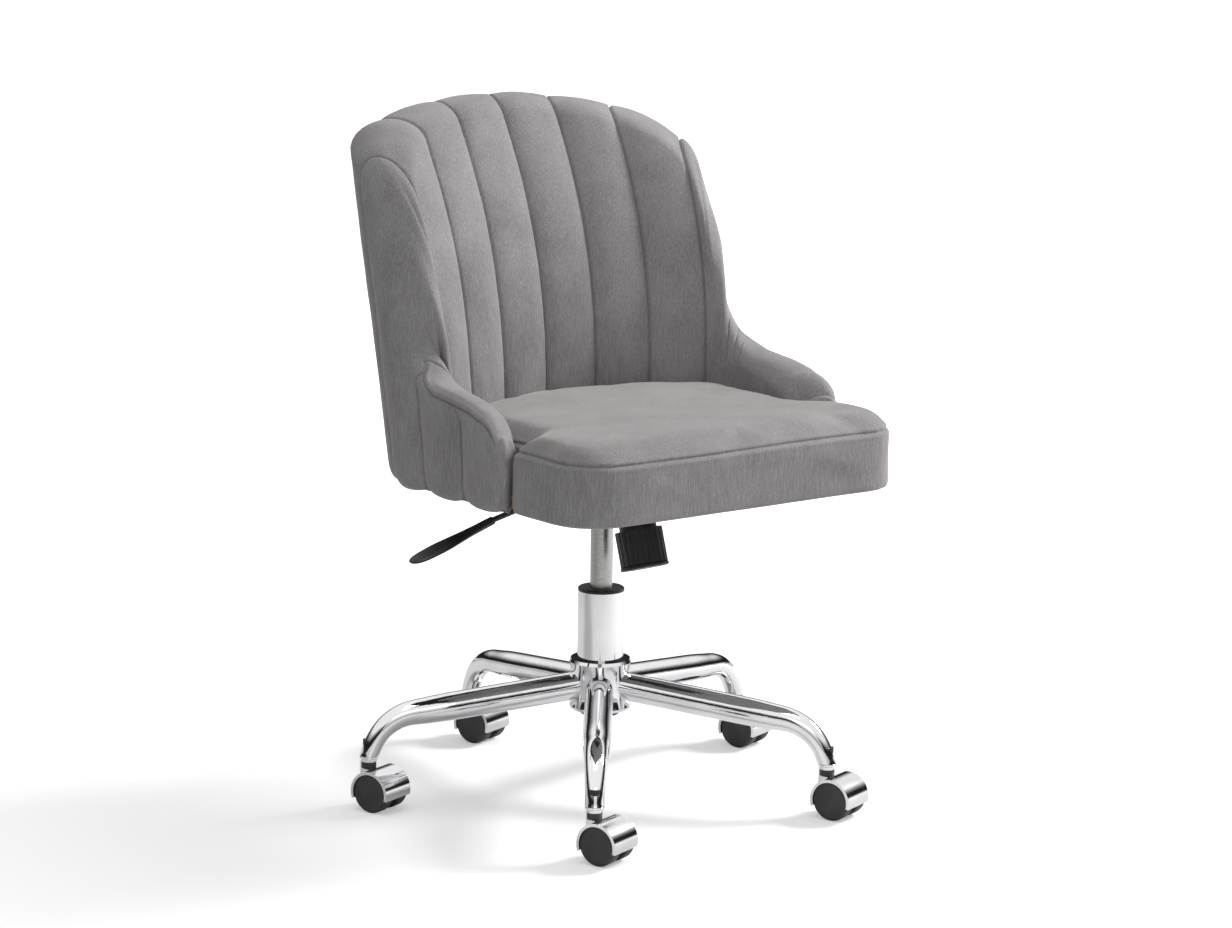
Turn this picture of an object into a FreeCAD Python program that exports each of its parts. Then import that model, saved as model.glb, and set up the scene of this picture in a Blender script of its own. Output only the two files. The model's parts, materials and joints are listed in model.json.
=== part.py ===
import FreeCAD, Part
import math
import os
from FreeCAD import Placement, Rotation, Vector

# Upholstered swivel desk chair.  Millimetres, +Z up, front of the seat towards -Y.
# The origin is on the floor, on the axis of the column.

os.makedirs("parts", exist_ok=True)

# ---- fits and small gaps ----
RUN = 0.05           # radial clearance of a shaft that turns or slides
GAP = 0.3            # gap between parts that move past each other, and round soft parts
HOLE = 0.3           # radial clearance of a bolt in a plain hole

# ---- casters ----
WHEEL_R = 25.0       # tread radius
WHEEL_W = 17.0       # width of one of the twin wheels
WHEEL_SPACE = 13.0   # space between the twin wheels, for the web
TRAIL = 18.0         # wheel axle behind the stem
CAP_R = 23.0         # smooth outer disc of a wheel
AXLE_R = 3.0
HOOD_T = 1.4         # thickness of the pressed hood
HOOD_LOW = -14.0     # hood's lower edge behind the wheel, degrees from level
HOOD_FRONT = 200.0   # hood's lower edge in front of the wheel, degrees
STEM_R = 5.0
STEM_IN = 19.0       # length of stem inside the leg
COLLAR_R = 11.5
COLLAR_H = 3.2
CASTER_HEADING = 19.0    # direction in which every wheel trails, degrees from -Y towards +X
BOSS_R = 9.0         # boss under the collars
BUSH_T = 2.4         # wall of the stem bush in the leg

# ---- base ----
LEGS = 5
BASE_HEADING = -38.6     # first leg, degrees from -Y towards +X
STEM_CIRCLE = 296.0      # radius of the circle of caster stems
LEG_END_Z = 66.0
LEG_ROOT_Z = 139.0       # centre of a leg where it leaves the hub
LEG_SLOPE = 6.0          # fall of the straight run, degrees
LEG_END_SLOPE = 67.0     # fall at the caster end, degrees
LEG_BEND_R = 62.0        # bend of the centreline between the two
LEG_R = 17.5             # tube radius at the hub
LEG_END_R = 11.6         # tube radius at the caster
LEG_TAPER_FROM = 0.55    # where along the leg the tube starts to narrow
LEG_WALL = 2.0
LEG_PLUG = 30.0          # solid length at the caster end
HUB_LOW, HUB_HIGH = 108.0, 172.0
HUB_RIM_R = 39.0
HUB_WAIST_R = 35.0

# ---- column ----
TUBE_R, TUBE_WALL = 25.0, 2.0
TUBE_TAPER = 1.2         # the tube's loss of radius inside the hub
TUBE_LOW = 101.0
TUBE_FLOOR = 3.0
SLEEVE_R, SLEEVE_WALL = 29.0, 1.5
SLEEVE_HIGH = 258.0
RING_H = 4.0             # ring that closes the sleeve
GUIDE_LENGTH = 56.0      # plastic guide of the cylinder
LIFT_STROKE = 80.0
ROD_R = 5.0
PISTON_H = 10.0
BEARING_H = 8.0
CLIP_H = 1.6
CYL_R, CYL_WALL = 14.0, 2.0
CYL_HIGH = 380.0         # top of the cylinder
CYL_TAPER = 0.7          # loss of radius over the taper
TAPER_H = 34.0           # length of the taper that holds the mechanism
CYL_SEAL = 14.0          # guide and seal in the foot of the cylinder
PIN_R, PIN_UP, PIN_IN = 3.0, 5.0, 14.0

# ---- tilt mechanism ----
HOUSE_HALF = 45.0        # half width over the side walls
HOUSE_T = 3.0
HOUSE_BACK, HOUSE_FRONT = 55.0, -100.0
HOUSE_LOW, HOUSE_HIGH = 352.0, 399.0
HOUSE_REAR_HIGH = 386.0  # the walls drop behind the column to let the seat tip
NOSE_FROM = -32.0        # where the floor turns up to the nose
NOSE_TILT = 18.0         # slope of the nose and of the tension screw
SOCKET_T = 4.0
PIVOT_Y, PIVOT_Z, PIVOT_R = -30.0, 383.0, 5.0
SCREW_Y = -67.0          # the screw's axis where it passes the nose's lower face
SCREW_R = 4.0
SCREW_HEAD_R, SCREW_HEAD_H = 15.0, 4.0
SPRING_R, SPRING_WIRE_R, SPRING_TURNS = 11.5, 1.7, 4
SPRING_TOP = 37.0        # the screw head's under side, above the nose along the screw
TONGUE_UP = 8.0          # lower face of the tongue, above the nose along the screw
PLATE_T = 3.0
EAR_T = 3.0
EAR_CLEAR = 5.0          # room between the ears and the lever's block, for the tilt
TONGUE_SLOT = 6.0        # length of the slot past the screw, for the tilt
KNOB_R, KNOB_LENGTH = 29.5, 48.0
KNOB_NECK_R, KNOB_NECK = 23.0, 17.0
KNOB_LOBES, KNOB_LOBE_DEPTH = 20, 0.9
KNOB_RIM = 5.0           # smooth rim at the knob's lower end

# ---- lever ----
LEVER_R = 3.5
LEVER_PIVOT_X = -40.0
LEVER_ANGLE = 6.0
LEVER_TIP = 5.0          # end of the rod past the valve pin
LEVER_BEND_X = -66.0
LEVER_KNEE = Vector(-178, -20, 372)
PADDLE_DROP = 16.0       # fall of the paddle, degrees
PADDLE_LENGTH, PADDLE_WIDTH, PADDLE_T = 128.0, 31.0, 9.0
BLOCK_X = (-56.0, -24.0)
BLOCK_HALF_Y, BLOCK_HALF_H = 7.0, 8.0
CROSS_PIN_R = 1.5

# ---- seat ----
PLATE_LOW = 410.0        # under side of the seat plate
PLATE_HALF_X, PLATE_Y = 95.0, (-92.0, 96.0)
SEAT_BOLT_X, SEAT_BOLT_Y = 78.0, (-72.0, 76.0)
BOLT_R, BOLT_HEAD_R, BOLT_HEAD_H = 4.0, 6.5, 5.3
NUT_R, NUT_FLANGE_R, NUT_FLANGE = 5.0, 10.0, 1.5
BOARD_T = 12.0
SEAT_LOW, SEAT_TOP = 408.0, 499.0
SEAT_FRONT = -290.0
SEAT_HALF = 253.0        # half width in front of the arms
SEAT_CORNER = 63.0
SEAT_CROWN = 12.0        # rounding of the cushion's upper edges
SKIRT = 8.0              # cover and foam round the board's edge
CLOTH = 0.8              # cloth under the seat

# ---- back ----
ARM_FRONT = -145.0
BACK_LOW = 405.0
OUT_HALF = 262.0                     # half width over the arms
OUT_REAR_LOW, OUT_REAR_TOP = 182.0, 262.0
OUT_CORNER_LOW, OUT_CORNER_TOP = 116.0, 92.0
OUT_REAR_R = 900.0
OUT_TUCK = 10.0                      # the cover tucks in at its lower edge
BACK_FROM, BACK_TOP = 435.0, 859.0   # heights at which the two rear values above hold
IN_HALF_LOW, IN_HALF_TOP = 215.0, 228.0
IN_REAR_LOW, IN_REAR_TOP = 117.0, 230.0
IN_FROM, IN_POWER = 485.0, 2.2       # the lean of the inner face grows from this height
IN_R_LOW, IN_R_TOP = 315.0, 402.0
IN_CORNER = 60.0
COVER_T = 12.0                       # outer padding and cover
SHELL_T = 9.0                        # moulded plywood
LIP = 10.0                           # padding over the shell's edges
CROWN_R = 700.0                      # arch of the top edge
SHOULDER_R = 118.0                   # rounding of the upper corners
BRACKET_T, BRACKET_W, BRACKET_L = 2.5, 44.0, 62.0
SCREW_SMALL_R, SCREW_SMALL_HEAD_R = 2.0, 3.8
SHELL_BITE = 11.0                    # depth of a screw in the shell's edge

# ---- values that follow ----
TURN = 360.0 / LEGS
PLATE_TOP = PLATE_LOW + PLATE_T
BOARD_TOP = PLATE_TOP + BOARD_T
PAD_LOW = BOARD_TOP + 1.0
HALF_SPAN = WHEEL_SPACE / 2 + WHEEL_W       # axle centre to a wheel's outer face
HOOD_R = WHEEL_R + 0.8                      # inside of the hood
UP = Vector(0, 0, 1)
SCREW_DOWN = Vector(0, -math.sin(math.radians(NOSE_TILT)), -math.cos(math.radians(NOSE_TILT)))
NOSE_Z = HOUSE_LOW + (NOSE_FROM - SCREW_Y) * math.tan(math.radians(NOSE_TILT))
SCREW_AT = Vector(0, SCREW_Y, NOSE_Z)
LEVER_Z = CYL_HIGH + PIN_UP + LEVER_R + GAP
LEG_ROOT_R = 22.0


def save(name, shape):
    shape.exportStep("parts/" + name + ".step")


def cylinder(radius, z0, z1, x=0.0, y=0.0):
    return Part.makeCylinder(radius, z1 - z0, Vector(x, y, z0))


def tube(outer, inner, z0, z1, x=0.0, y=0.0):
    return cylinder(outer, z0, z1, x, y).cut(cylinder(inner, z0 - 1, z1 + 1, x, y))


def block(x, y, z):
    return Part.makeBox(x[1] - x[0], y[1] - y[0], z[1] - z[0], Vector(x[0], y[0], z[0]))


def cone(r0, r1, z0, z1):
    return Part.makeCone(r0, r1, z1 - z0, Vector(0, 0, z0))


def polygon_solid(points, push):
    """Extrude a closed polygon along a vector."""
    wire = Part.makePolygon(list(points) + [points[0]])
    return Part.Face(wire).extrude(push)


def revolved(profile):
    """Turn a closed profile of (radius, z) points about the Z axis."""
    points = [Vector(r, 0, z) for r, z in profile]
    face = Part.Face(Part.makePolygon(points + [points[0]]))
    return face.revolve(Vector(0, 0, 0), UP, 360)


def group(solids):
    return Part.makeCompound(solids)


# ---------------------------------------------------------------- base

def hub_body():
    """Outer form of the hub, without its bore: a waist between two rolled rims."""
    mid = (HUB_LOW + HUB_HIGH) / 2
    points = [Vector(HUB_RIM_R, 0, HUB_LOW + 4), Vector(HUB_WAIST_R, 0, mid),
              Vector(HUB_RIM_R, 0, HUB_HIGH - 4)]
    curve = Part.BSplineCurve()
    curve.interpolate(Points=points, InitialTangent=Vector(-0.35, 0, 1), FinalTangent=Vector(0.35, 0, 1))
    lower = Part.makePolygon([Vector(0, 0, HUB_LOW), Vector(HUB_RIM_R - 2, 0, HUB_LOW), points[0]])
    upper = Part.makePolygon([points[2], Vector(HUB_RIM_R - 2, 0, HUB_HIGH), Vector(0, 0, HUB_HIGH),
                              Vector(0, 0, HUB_LOW)])
    wire = Part.Wire(lower.Edges + [curve.toShape()] + upper.Edges)
    return Part.Face(wire).revolve(Vector(0, 0, 0), UP, 360)


def column_outside(grow=0.0):
    """Outside of the column tube: a taper inside the hub and a straight tube above it."""
    taper = cone(TUBE_R - TUBE_TAPER + grow, TUBE_R + grow, TUBE_LOW, HUB_HIGH)
    return taper.fuse(cylinder(TUBE_R + grow, HUB_HIGH, SLEEVE_HIGH - 2)).removeSplitter()


def base_hub():
    return hub_body().cut(column_outside())


def leg_runs():
    """The centreline's corner and bend, in the leg's own plane of reach and height."""
    slope, steep = math.radians(LEG_SLOPE), math.radians(LEG_END_SLOPE)
    # the two straight runs meet at the corner that the bend rounds off
    rise = LEG_ROOT_Z - LEG_END_Z + LEG_ROOT_R * math.tan(slope)
    corner_r = (math.tan(steep) * STEM_CIRCLE - rise) / (math.tan(steep) - math.tan(slope))
    tangent = LEG_BEND_R * math.tan((steep - slope) / 2)
    first = (corner_r - LEG_ROOT_R) / math.cos(slope) - tangent
    bend = LEG_BEND_R * (steep - slope)
    last = (STEM_CIRCLE - corner_r) / math.cos(steep) - tangent
    return slope, steep, first, bend, last


def leg_station(run):
    """Reach, height and fall of the centreline, run millimetres from its root."""
    slope, steep, first, bend, _ = leg_runs()
    straight = min(run, first)
    reach = LEG_ROOT_R + straight * math.cos(slope)
    height = LEG_ROOT_Z - straight * math.sin(slope)
    turned = slope + min(max(0.0, run - first), bend) / LEG_BEND_R
    reach += LEG_BEND_R * (math.sin(turned) - math.sin(slope))
    height -= LEG_BEND_R * (math.cos(slope) - math.cos(turned))
    rest = max(0.0, run - first - bend)
    return reach + rest * math.cos(steep), height - rest * math.sin(steep), turned


def leg_skin(shrink, short):
    """A leg's round body, lofted along the path to short of its end, its radius less by shrink."""
    whole = sum(leg_runs()[2:])
    length = whole - short
    count = 18
    rings = []
    for i in range(count + 1):
        run = length * i / count
        reach, height, fall = leg_station(run)
        t = min(1.0, max(0.0, run / whole - LEG_TAPER_FROM) / (1 - LEG_TAPER_FROM))
        ease = t * t * (3 - 2 * t)
        radius = LEG_R + (LEG_END_R - LEG_R) * ease - shrink
        ring = Part.Wire([Part.Circle(Vector(0, 0, 0), UP, radius).toShape()])
        ring.Placement = Placement(Vector(0, -reach, height), Rotation(Vector(1, 0, 0), 90 + math.degrees(fall)))
        rings.append(ring)
    return Part.makeLoft(rings, True)


def base_leg():
    """One leg, pointing towards -Y: coped round the hub, cut level and bored at the caster."""
    leg = leg_skin(0.0, -LEG_END_R).cut(leg_skin(LEG_WALL, LEG_PLUG))
    leg = leg.cut(hub_body())
    leg = leg.cut(block((-99, 99), (-STEM_CIRCLE - 99, -99), (-99, LEG_END_Z)))
    return leg.cut(cylinder(STEM_R + BUSH_T, 0, LEG_END_Z + STEM_IN + 1, 0, -STEM_CIRCLE))


def caster_socket():
    return tube(STEM_R + BUSH_T, STEM_R + RUN, LEG_END_Z, LEG_END_Z + STEM_IN + 1, 0, -STEM_CIRCLE)


def column_tube():
    inside = cylinder(TUBE_R - TUBE_WALL - TUBE_TAPER, TUBE_LOW + TUBE_FLOOR, HUB_HIGH)
    inside = inside.fuse(cylinder(TUBE_R - TUBE_WALL, HUB_HIGH, SLEEVE_HIGH))
    return column_outside().cut(inside).cut(cylinder(ROD_R + HOLE, TUBE_LOW - 1, TUBE_LOW + 9))


def column_sleeve():
    return tube(SLEEVE_R, SLEEVE_R - SLEEVE_WALL, HUB_HIGH, SLEEVE_HIGH)


def sleeve_ring():
    """Black ring on the sleeve, with a spigot that centres it in the sleeve."""
    ring = cylinder(SLEEVE_R, SLEEVE_HIGH, SLEEVE_HIGH + RING_H)
    ring = ring.makeChamfer(1.2, [e for e in ring.Edges if e.BoundBox.ZMin > SLEEVE_HIGH + RING_H - 1])
    spigot = tube(SLEEVE_R - SLEEVE_WALL, TUBE_R, SLEEVE_HIGH - 6, SLEEVE_HIGH)
    return ring.fuse(spigot).cut(cylinder(CYL_R + 0.4, 0, SLEEVE_HIGH + 99)).removeSplitter()


def guide_bush():
    high = SLEEVE_HIGH - 2
    return tube(TUBE_R - TUBE_WALL, CYL_R + RUN, high - GUIDE_LENGTH, high)


def thrust_bearing():
    """Two washers with a ring of balls between them, on the tube's floor."""
    low = TUBE_LOW + TUBE_FLOOR
    washer = 2.0
    inner, outer = ROD_R + HOLE, 15.0
    ball = (BEARING_H - 2 * washer) / 2
    solids = [tube(outer, inner, low, low + washer)]
    for i in range(9):
        turn = 2 * math.pi * i / 9
        at = Vector(10.2 * math.cos(turn), 10.2 * math.sin(turn), low + washer + ball)
        solids.append(Part.makeSphere(ball, at))
    solids.append(tube(outer, inner, low + washer + 2 * ball, low + BEARING_H))
    return group(solids)


def retaining_clip():
    """Snap ring in the rod's groove under the tube's floor."""
    low = TUBE_LOW - CLIP_H
    ring = tube(ROD_R + 4.5, ROD_R - 0.8, low, low + CLIP_H)
    return ring.cut(block((ROD_R - 3, 99), (-3.2, 3.2), (low - 1, TUBE_LOW + 1)))


def piston_rod():
    """Rod that stands on the bearing; its shoulder carries the load, its groove takes the clip."""
    shoulder_z = TUBE_LOW + TUBE_FLOOR + BEARING_H
    low = TUBE_LOW - CLIP_H - 3
    cyl_foot = shoulder_z + 6 + LIFT_STROKE
    high = CYL_HIGH - PIN_IN - 8 - LIFT_STROKE
    rod = cylinder(ROD_R, low, high)
    rod = rod.fuse(cylinder(ROD_R + 4, shoulder_z, shoulder_z + 4))
    rod = rod.fuse(cylinder(CYL_R - CYL_WALL - RUN, high - PISTON_H, high))
    groove = tube(ROD_R + 1, ROD_R - 0.8 - RUN, TUBE_LOW - CLIP_H - RUN, TUBE_LOW)
    assert high - PISTON_H > cyl_foot + CYL_SEAL
    return rod.cut(groove).removeSplitter()


# ---------------------------------------------------------------- casters

def caster_web():
    """Centre web between the wheels, with the boss that holds the stem."""
    web = Part.makeCylinder(HOOD_R + 0.5, WHEEL_SPACE - 2, Vector(TRAIL, 1 - WHEEL_SPACE / 2, WHEEL_R),
                            Vector(0, 1, 0))
    keep = block((-30, TRAIL + 9), (-20, 20), (WHEEL_R - 8, 99))
    web = web.common(keep)
    top = LEG_END_Z - GAP - 2 * COLLAR_H - 0.4
    boss = cylinder(BOSS_R, HOOD_R + WHEEL_R - 1.3, top).fuse(
        block((-9, 4), (1 - WHEEL_SPACE / 2, WHEEL_SPACE / 2 - 1), (WHEEL_R + 5, top)))
    return web.fuse(boss)


def caster_hood():
    """Pressed hood over both wheels: a drum with inturned rims, open below, on the web."""
    wide = HALF_SPAN + 1.2
    start = Vector(TRAIL, -wide, WHEEL_R)
    along = Vector(0, 1, 0)
    drum = Part.makeCylinder(HOOD_R + HOOD_T, 2 * wide, start, along)
    hollow = Part.makeCylinder(HOOD_R, 2 * (HALF_SPAN + 0.4), Vector(TRAIL, -HALF_SPAN - 0.4, WHEEL_R), along)
    mouth = Part.makeCylinder(CAP_R + 0.6, 2 * wide + 2, Vector(TRAIL, -wide - 1, WHEEL_R), along)
    shell = drum.cut(hollow).cut(mouth)
    # what lies between the two lower edges, below the axle, is open
    far = 80.0
    low, front = math.radians(HOOD_LOW), math.radians(HOOD_FRONT)
    centre = Vector(TRAIL, -50, WHEEL_R)
    wedge = [centre, centre + Vector(far * math.cos(low), 0, far * math.sin(low)),
             centre + Vector(far * math.cos(low), 0, -far), centre + Vector(-far, 0, -far),
             centre + Vector(far * math.cos(front), 0, far * math.sin(front))]
    shell = shell.cut(polygon_solid(wedge, Vector(0, 100, 0)))
    # slot for the boss
    shell = shell.cut(block((-60, 9.5), (-10.5, 10.5), (WHEEL_R + 14, 99)))
    hood = shell.fuse(caster_web())
    hood = hood.cut(cylinder(STEM_R, WHEEL_R + 9, 99))
    axle_hole = Part.makeCylinder(AXLE_R, 60, Vector(TRAIL, -30, WHEEL_R), along)
    return hood.cut(axle_hole).removeSplitter()


def caster_stem():
    """Steel stem with two collars, pressed into the boss and free to turn in the leg."""
    low, leg = WHEEL_R + 10, LEG_END_Z
    stem = cylinder(STEM_R, low, leg + STEM_IN)
    collar = cylinder(COLLAR_R, leg - GAP - COLLAR_H, leg - GAP)
    collar = collar.makeFillet(1.0, collar.Edges[:1] + collar.Edges[2:])
    lower = cylinder(COLLAR_R - 1.4, leg - GAP - 2 * COLLAR_H, leg - GAP - COLLAR_H)
    tip = [e for e in stem.Edges if e.BoundBox.ZMin > leg + STEM_IN - 1]
    return stem.makeChamfer(0.8, tip).fuse(collar).fuse(lower).removeSplitter()


def caster_axle():
    half = HALF_SPAN - 3
    return Part.makeCylinder(AXLE_R, 2 * half, Vector(TRAIL, -half, WHEEL_R), Vector(0, 1, 0))


def caster_wheel(side):
    """One of the twin wheels: tread, smooth outer disc and a blind bore."""
    inner, outer = WHEEL_SPACE / 2, HALF_SPAN
    profile = [(0, outer - 2), (AXLE_R + RUN, outer - 2), (AXLE_R + RUN, inner), (WHEEL_R - 2, inner),
               (WHEEL_R, inner + 2), (WHEEL_R, outer - 3), (WHEEL_R - 1.4, outer - 1.2),
               (CAP_R, outer - 1.2), (CAP_R - 0.6, outer - 0.3), (CAP_R - 3, outer), (0, outer)]
    wheel = revolved(profile)
    wheel.Placement = Placement(Vector(TRAIL, 0, WHEEL_R), Rotation(Vector(1, 0, 0), -90 if side > 0 else 90))
    return wheel


def at_leg(shape, number):
    """A piece made on the -Y leg, turned to leg number."""
    moved = shape.copy()
    moved.rotate(Vector(0, 0, 0), UP, BASE_HEADING + TURN * number)
    return moved


def at_stem(shape, number):
    """A caster piece, made with its stem on Z and trailing to +X, set under a leg."""
    angle = math.radians(BASE_HEADING + TURN * number)
    at = Vector(STEM_CIRCLE * math.sin(angle), -STEM_CIRCLE * math.cos(angle), 0)
    moved = shape.copy()
    moved.Placement = Placement(at, Rotation(UP, CASTER_HEADING - 90)).multiply(moved.Placement)
    return moved


# ---------------------------------------------------------------- lift and mechanism

def gas_cylinder():
    """Pressure tube with a tapered head, hollow, with the rod's seal in its foot."""
    foot = TUBE_LOW + TUBE_FLOOR + BEARING_H + 6 + LIFT_STROKE
    neck = CYL_HIGH - TAPER_H
    outside = cylinder(CYL_R, foot, neck).fuse(cone(CYL_R, CYL_R - CYL_TAPER, neck, CYL_HIGH))
    hollow = cylinder(CYL_R - CYL_WALL, foot + CYL_SEAL, CYL_HIGH - PIN_IN - 4)
    body = outside.cut(hollow).cut(cylinder(ROD_R + RUN, foot - 1, foot + CYL_SEAL + 1))
    return body.cut(cylinder(PIN_R + RUN, CYL_HIGH - PIN_IN, CYL_HIGH + 1)).removeSplitter()


def valve_pin():
    pin = cylinder(PIN_R, CYL_HIGH - PIN_IN + PIN_UP + GAP, CYL_HIGH + PIN_UP)
    return pin.makeFillet(0.8, [e for e in pin.Edges if e.BoundBox.ZMin > CYL_HIGH])


def along_screw(distance):
    """A point on the tension screw, distance above the nose's lower face."""
    return SCREW_AT - SCREW_DOWN * distance


def screw_cylinder(radius, low, high):
    return Part.makeCylinder(radius, high - low, along_screw(low), SCREW_DOWN * -1)


def housing_outline(inset):
    """Side view of the housing, its floor raised by inset."""
    slope = math.tan(math.radians(NOSE_TILT))
    front = HOUSE_LOW + (NOSE_FROM - HOUSE_FRONT) * slope
    lift = inset / math.cos(math.radians(NOSE_TILT))
    ends = inset
    return [(HOUSE_BACK - ends, HOUSE_LOW + inset), (NOSE_FROM, HOUSE_LOW + inset),
            (HOUSE_FRONT + ends, front - ends * slope + lift), (HOUSE_FRONT + ends, HOUSE_HIGH + 2 * inset),
            (8.0, HOUSE_HIGH + 2 * inset), (HOUSE_BACK - ends, HOUSE_REAR_HIGH + 2 * inset)]


def mechanism_housing():
    """Pressed steel tray with the welded taper socket, on the gas cylinder."""
    def tray(half, inset):
        points = [Vector(-half, y, z) for y, z in housing_outline(inset)]
        return polygon_solid(points, Vector(2 * half, 0, 0))
    body = tray(HOUSE_HALF, 0.0).cut(tray(HOUSE_HALF - HOUSE_T, HOUSE_T))
    low = CYL_HIGH - TAPER_H
    body = body.fuse(cylinder(CYL_R + SOCKET_T, low, CYL_HIGH - 2))
    body = body.cut(cone(CYL_R, CYL_R - CYL_TAPER, low, CYL_HIGH)).cut(cylinder(CYL_R - CYL_TAPER, low, CYL_HIGH))
    pivot = Part.makeCylinder(PIVOT_R, 200, Vector(-100, PIVOT_Y, PIVOT_Z), Vector(1, 0, 0))
    body = body.cut(pivot).cut(screw_cylinder(SCREW_R + 1, -6, 9))
    half_y, half_h = BLOCK_HALF_Y + 0.2, BLOCK_HALF_H + 0.2
    window = block((-60, -30), (-half_y, half_y), (LEVER_Z - half_h, LEVER_Z + half_h))
    return body.cut(window)


def pivot_pin():
    """Pin of the tilt, headed at one end."""
    half = HOUSE_HALF + 2
    pin = Part.makeCylinder(PIVOT_R, 2 * half, Vector(-half, PIVOT_Y, PIVOT_Z), Vector(1, 0, 0))
    head = Part.makeCylinder(PIVOT_R + 3, 3, Vector(HOUSE_HALF + 0.1, PIVOT_Y, PIVOT_Z), Vector(1, 0, 0))
    return pin.fuse(head).removeSplitter()


def tension_bolt():
    shank = screw_cylinder(SCREW_R, -KNOB_NECK - KNOB_LENGTH + 12, SPRING_TOP)
    head = screw_cylinder(SCREW_HEAD_R, SPRING_TOP, SPRING_TOP + SCREW_HEAD_H)
    return shank.fuse(head).removeSplitter()


def tension_spring():
    """Coil spring between the tongue and the screw's head."""
    low = TONGUE_UP + PLATE_T + SPRING_WIRE_R + GAP
    high = SPRING_TOP - SPRING_WIRE_R - GAP
    helix = Part.makeHelix((high - low) / SPRING_TURNS, high - low, SPRING_R)
    section = Part.Circle(Vector(SPRING_R, 0, 0), Vector(0, 1, 0), SPRING_WIRE_R).toShape()
    coil = Part.Wire(helix.Edges).makePipeShell([Part.Wire([section])], True, True)
    coil.Placement = Placement(along_screw(low), Rotation(UP, SCREW_DOWN * -1))
    return coil


def tension_knob():
    """Lobed hand knob with a neck, on the lower end of the screw."""
    top = -GAP
    neck = screw_cylinder(KNOB_NECK_R, top - KNOB_NECK, top)
    edges = []
    for i in range(KNOB_LOBES):
        a0, a1 = 2 * math.pi * i / KNOB_LOBES, 2 * math.pi * (i + 1) / KNOB_LOBES
        valley = KNOB_R - KNOB_LOBE_DEPTH
        p0 = Vector(valley * math.cos(a0), valley * math.sin(a0), 0)
        p1 = Vector(KNOB_R * math.cos((a0 + a1) / 2), KNOB_R * math.sin((a0 + a1) / 2), 0)
        p2 = Vector(valley * math.cos(a1), valley * math.sin(a1), 0)
        edges.append(Part.Arc(p0, p1, p2).toShape())
    grip = Part.Face(Part.Wire(edges)).extrude(Vector(0, 0, KNOB_LENGTH - KNOB_RIM))
    grip.Placement = Placement(along_screw(top - KNOB_NECK - KNOB_LENGTH + KNOB_RIM),
                               Rotation(UP, SCREW_DOWN * -1))
    rim = screw_cylinder(KNOB_R + 0.6, top - KNOB_NECK - KNOB_LENGTH, top - KNOB_NECK - KNOB_LENGTH + KNOB_RIM)
    rim = rim.makeChamfer(1.5, rim.Edges[:1] + rim.Edges[2:])
    knob = neck.fuse(grip).fuse(rim)
    return knob.cut(screw_cylinder(SCREW_R + RUN, -KNOB_NECK - KNOB_LENGTH + 11, 1)).removeSplitter()


# ---------------------------------------------------------------- lever

def lever_bush():
    """Block that slides in the housing's wall, slotted for the rod."""
    z0, z1 = LEVER_Z - BLOCK_HALF_H, LEVER_Z + BLOCK_HALF_H
    body = block(BLOCK_X, (-BLOCK_HALF_Y, BLOCK_HALF_Y), (z0, z1))
    swing = (BLOCK_X[1] - BLOCK_X[0]) / 2 * math.tan(math.radians(LEVER_ANGLE))
    half = LEVER_R + swing + 0.2
    side = LEVER_R + 0.15
    slot = block((-99, 0), (-side, side), (LEVER_Z - half, LEVER_Z + half))
    pin_hole = Part.makeCylinder(CROSS_PIN_R + RUN, 60, Vector(LEVER_PIVOT_X, -30, LEVER_Z), Vector(0, 1, 0))
    return body.cut(slot).cut(pin_hole)


def paddle_way():
    """Direction of the paddle, from the knee outwards."""
    drop = math.radians(PADDLE_DROP)
    return Vector(-math.cos(drop), -0.06, -math.sin(drop)).normalize()


def lever_rod():
    """Bent rod from the valve pin to the paddle, with the cross pin that it turns on."""
    tip = Vector(LEVER_TIP, 0, LEVER_Z)
    bend = Vector(LEVER_BEND_X, 0, LEVER_Z)
    end = LEVER_KNEE + paddle_way() * 30
    rod = None
    for a, b in ((tip, bend), (bend, LEVER_KNEE), (LEVER_KNEE, end)):
        run = Part.makeCylinder(LEVER_R, (b - a).Length, a, b - a)
        rod = run if rod is None else rod.fuse(run).fuse(Part.makeSphere(LEVER_R, a))
    half = BLOCK_HALF_Y - 0.3
    pin = Part.makeCylinder(CROSS_PIN_R, 2 * half, Vector(LEVER_PIVOT_X, -half, LEVER_Z), Vector(0, 1, 0))
    return rod.fuse(pin).removeSplitter()


def lever_paddle():
    """Moulded paddle: a neck round the rod that flattens and widens to a rounded tip."""
    way = paddle_way()
    across = Vector(0, 1, 0).cross(way).normalize()
    side = way.cross(across).normalize()
    sections = ((0.0, 11.0, 10.0), (0.2, 14.0, 10.0), (0.42, 23.0, PADDLE_T), (0.68, PADDLE_WIDTH, PADDLE_T),
                (0.88, PADDLE_WIDTH * 0.9, PADDLE_T * 0.85), (0.97, PADDLE_WIDTH * 0.6, PADDLE_T * 0.6),
                (1.0, PADDLE_WIDTH * 0.3, PADDLE_T * 0.3))
    rings = []
    for t, width, thick in sections:
        centre = LEVER_KNEE + way * (5 + PADDLE_LENGTH * t)
        major, minor = centre + side * (width / 2), centre + across * (thick / 2)
        rings.append(Part.Wire([Part.Ellipse(major, minor, centre).toShape()]))
    paddle = Part.makeLoft(rings, True)
    return paddle.cut(Part.makeCylinder(LEVER_R, 25.2, LEVER_KNEE + way * 4.8, way))


# ---------------------------------------------------------------- seat

def bolt_places():
    return [(x, y) for x in (-SEAT_BOLT_X, SEAT_BOLT_X) for y in SEAT_BOLT_Y]


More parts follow.
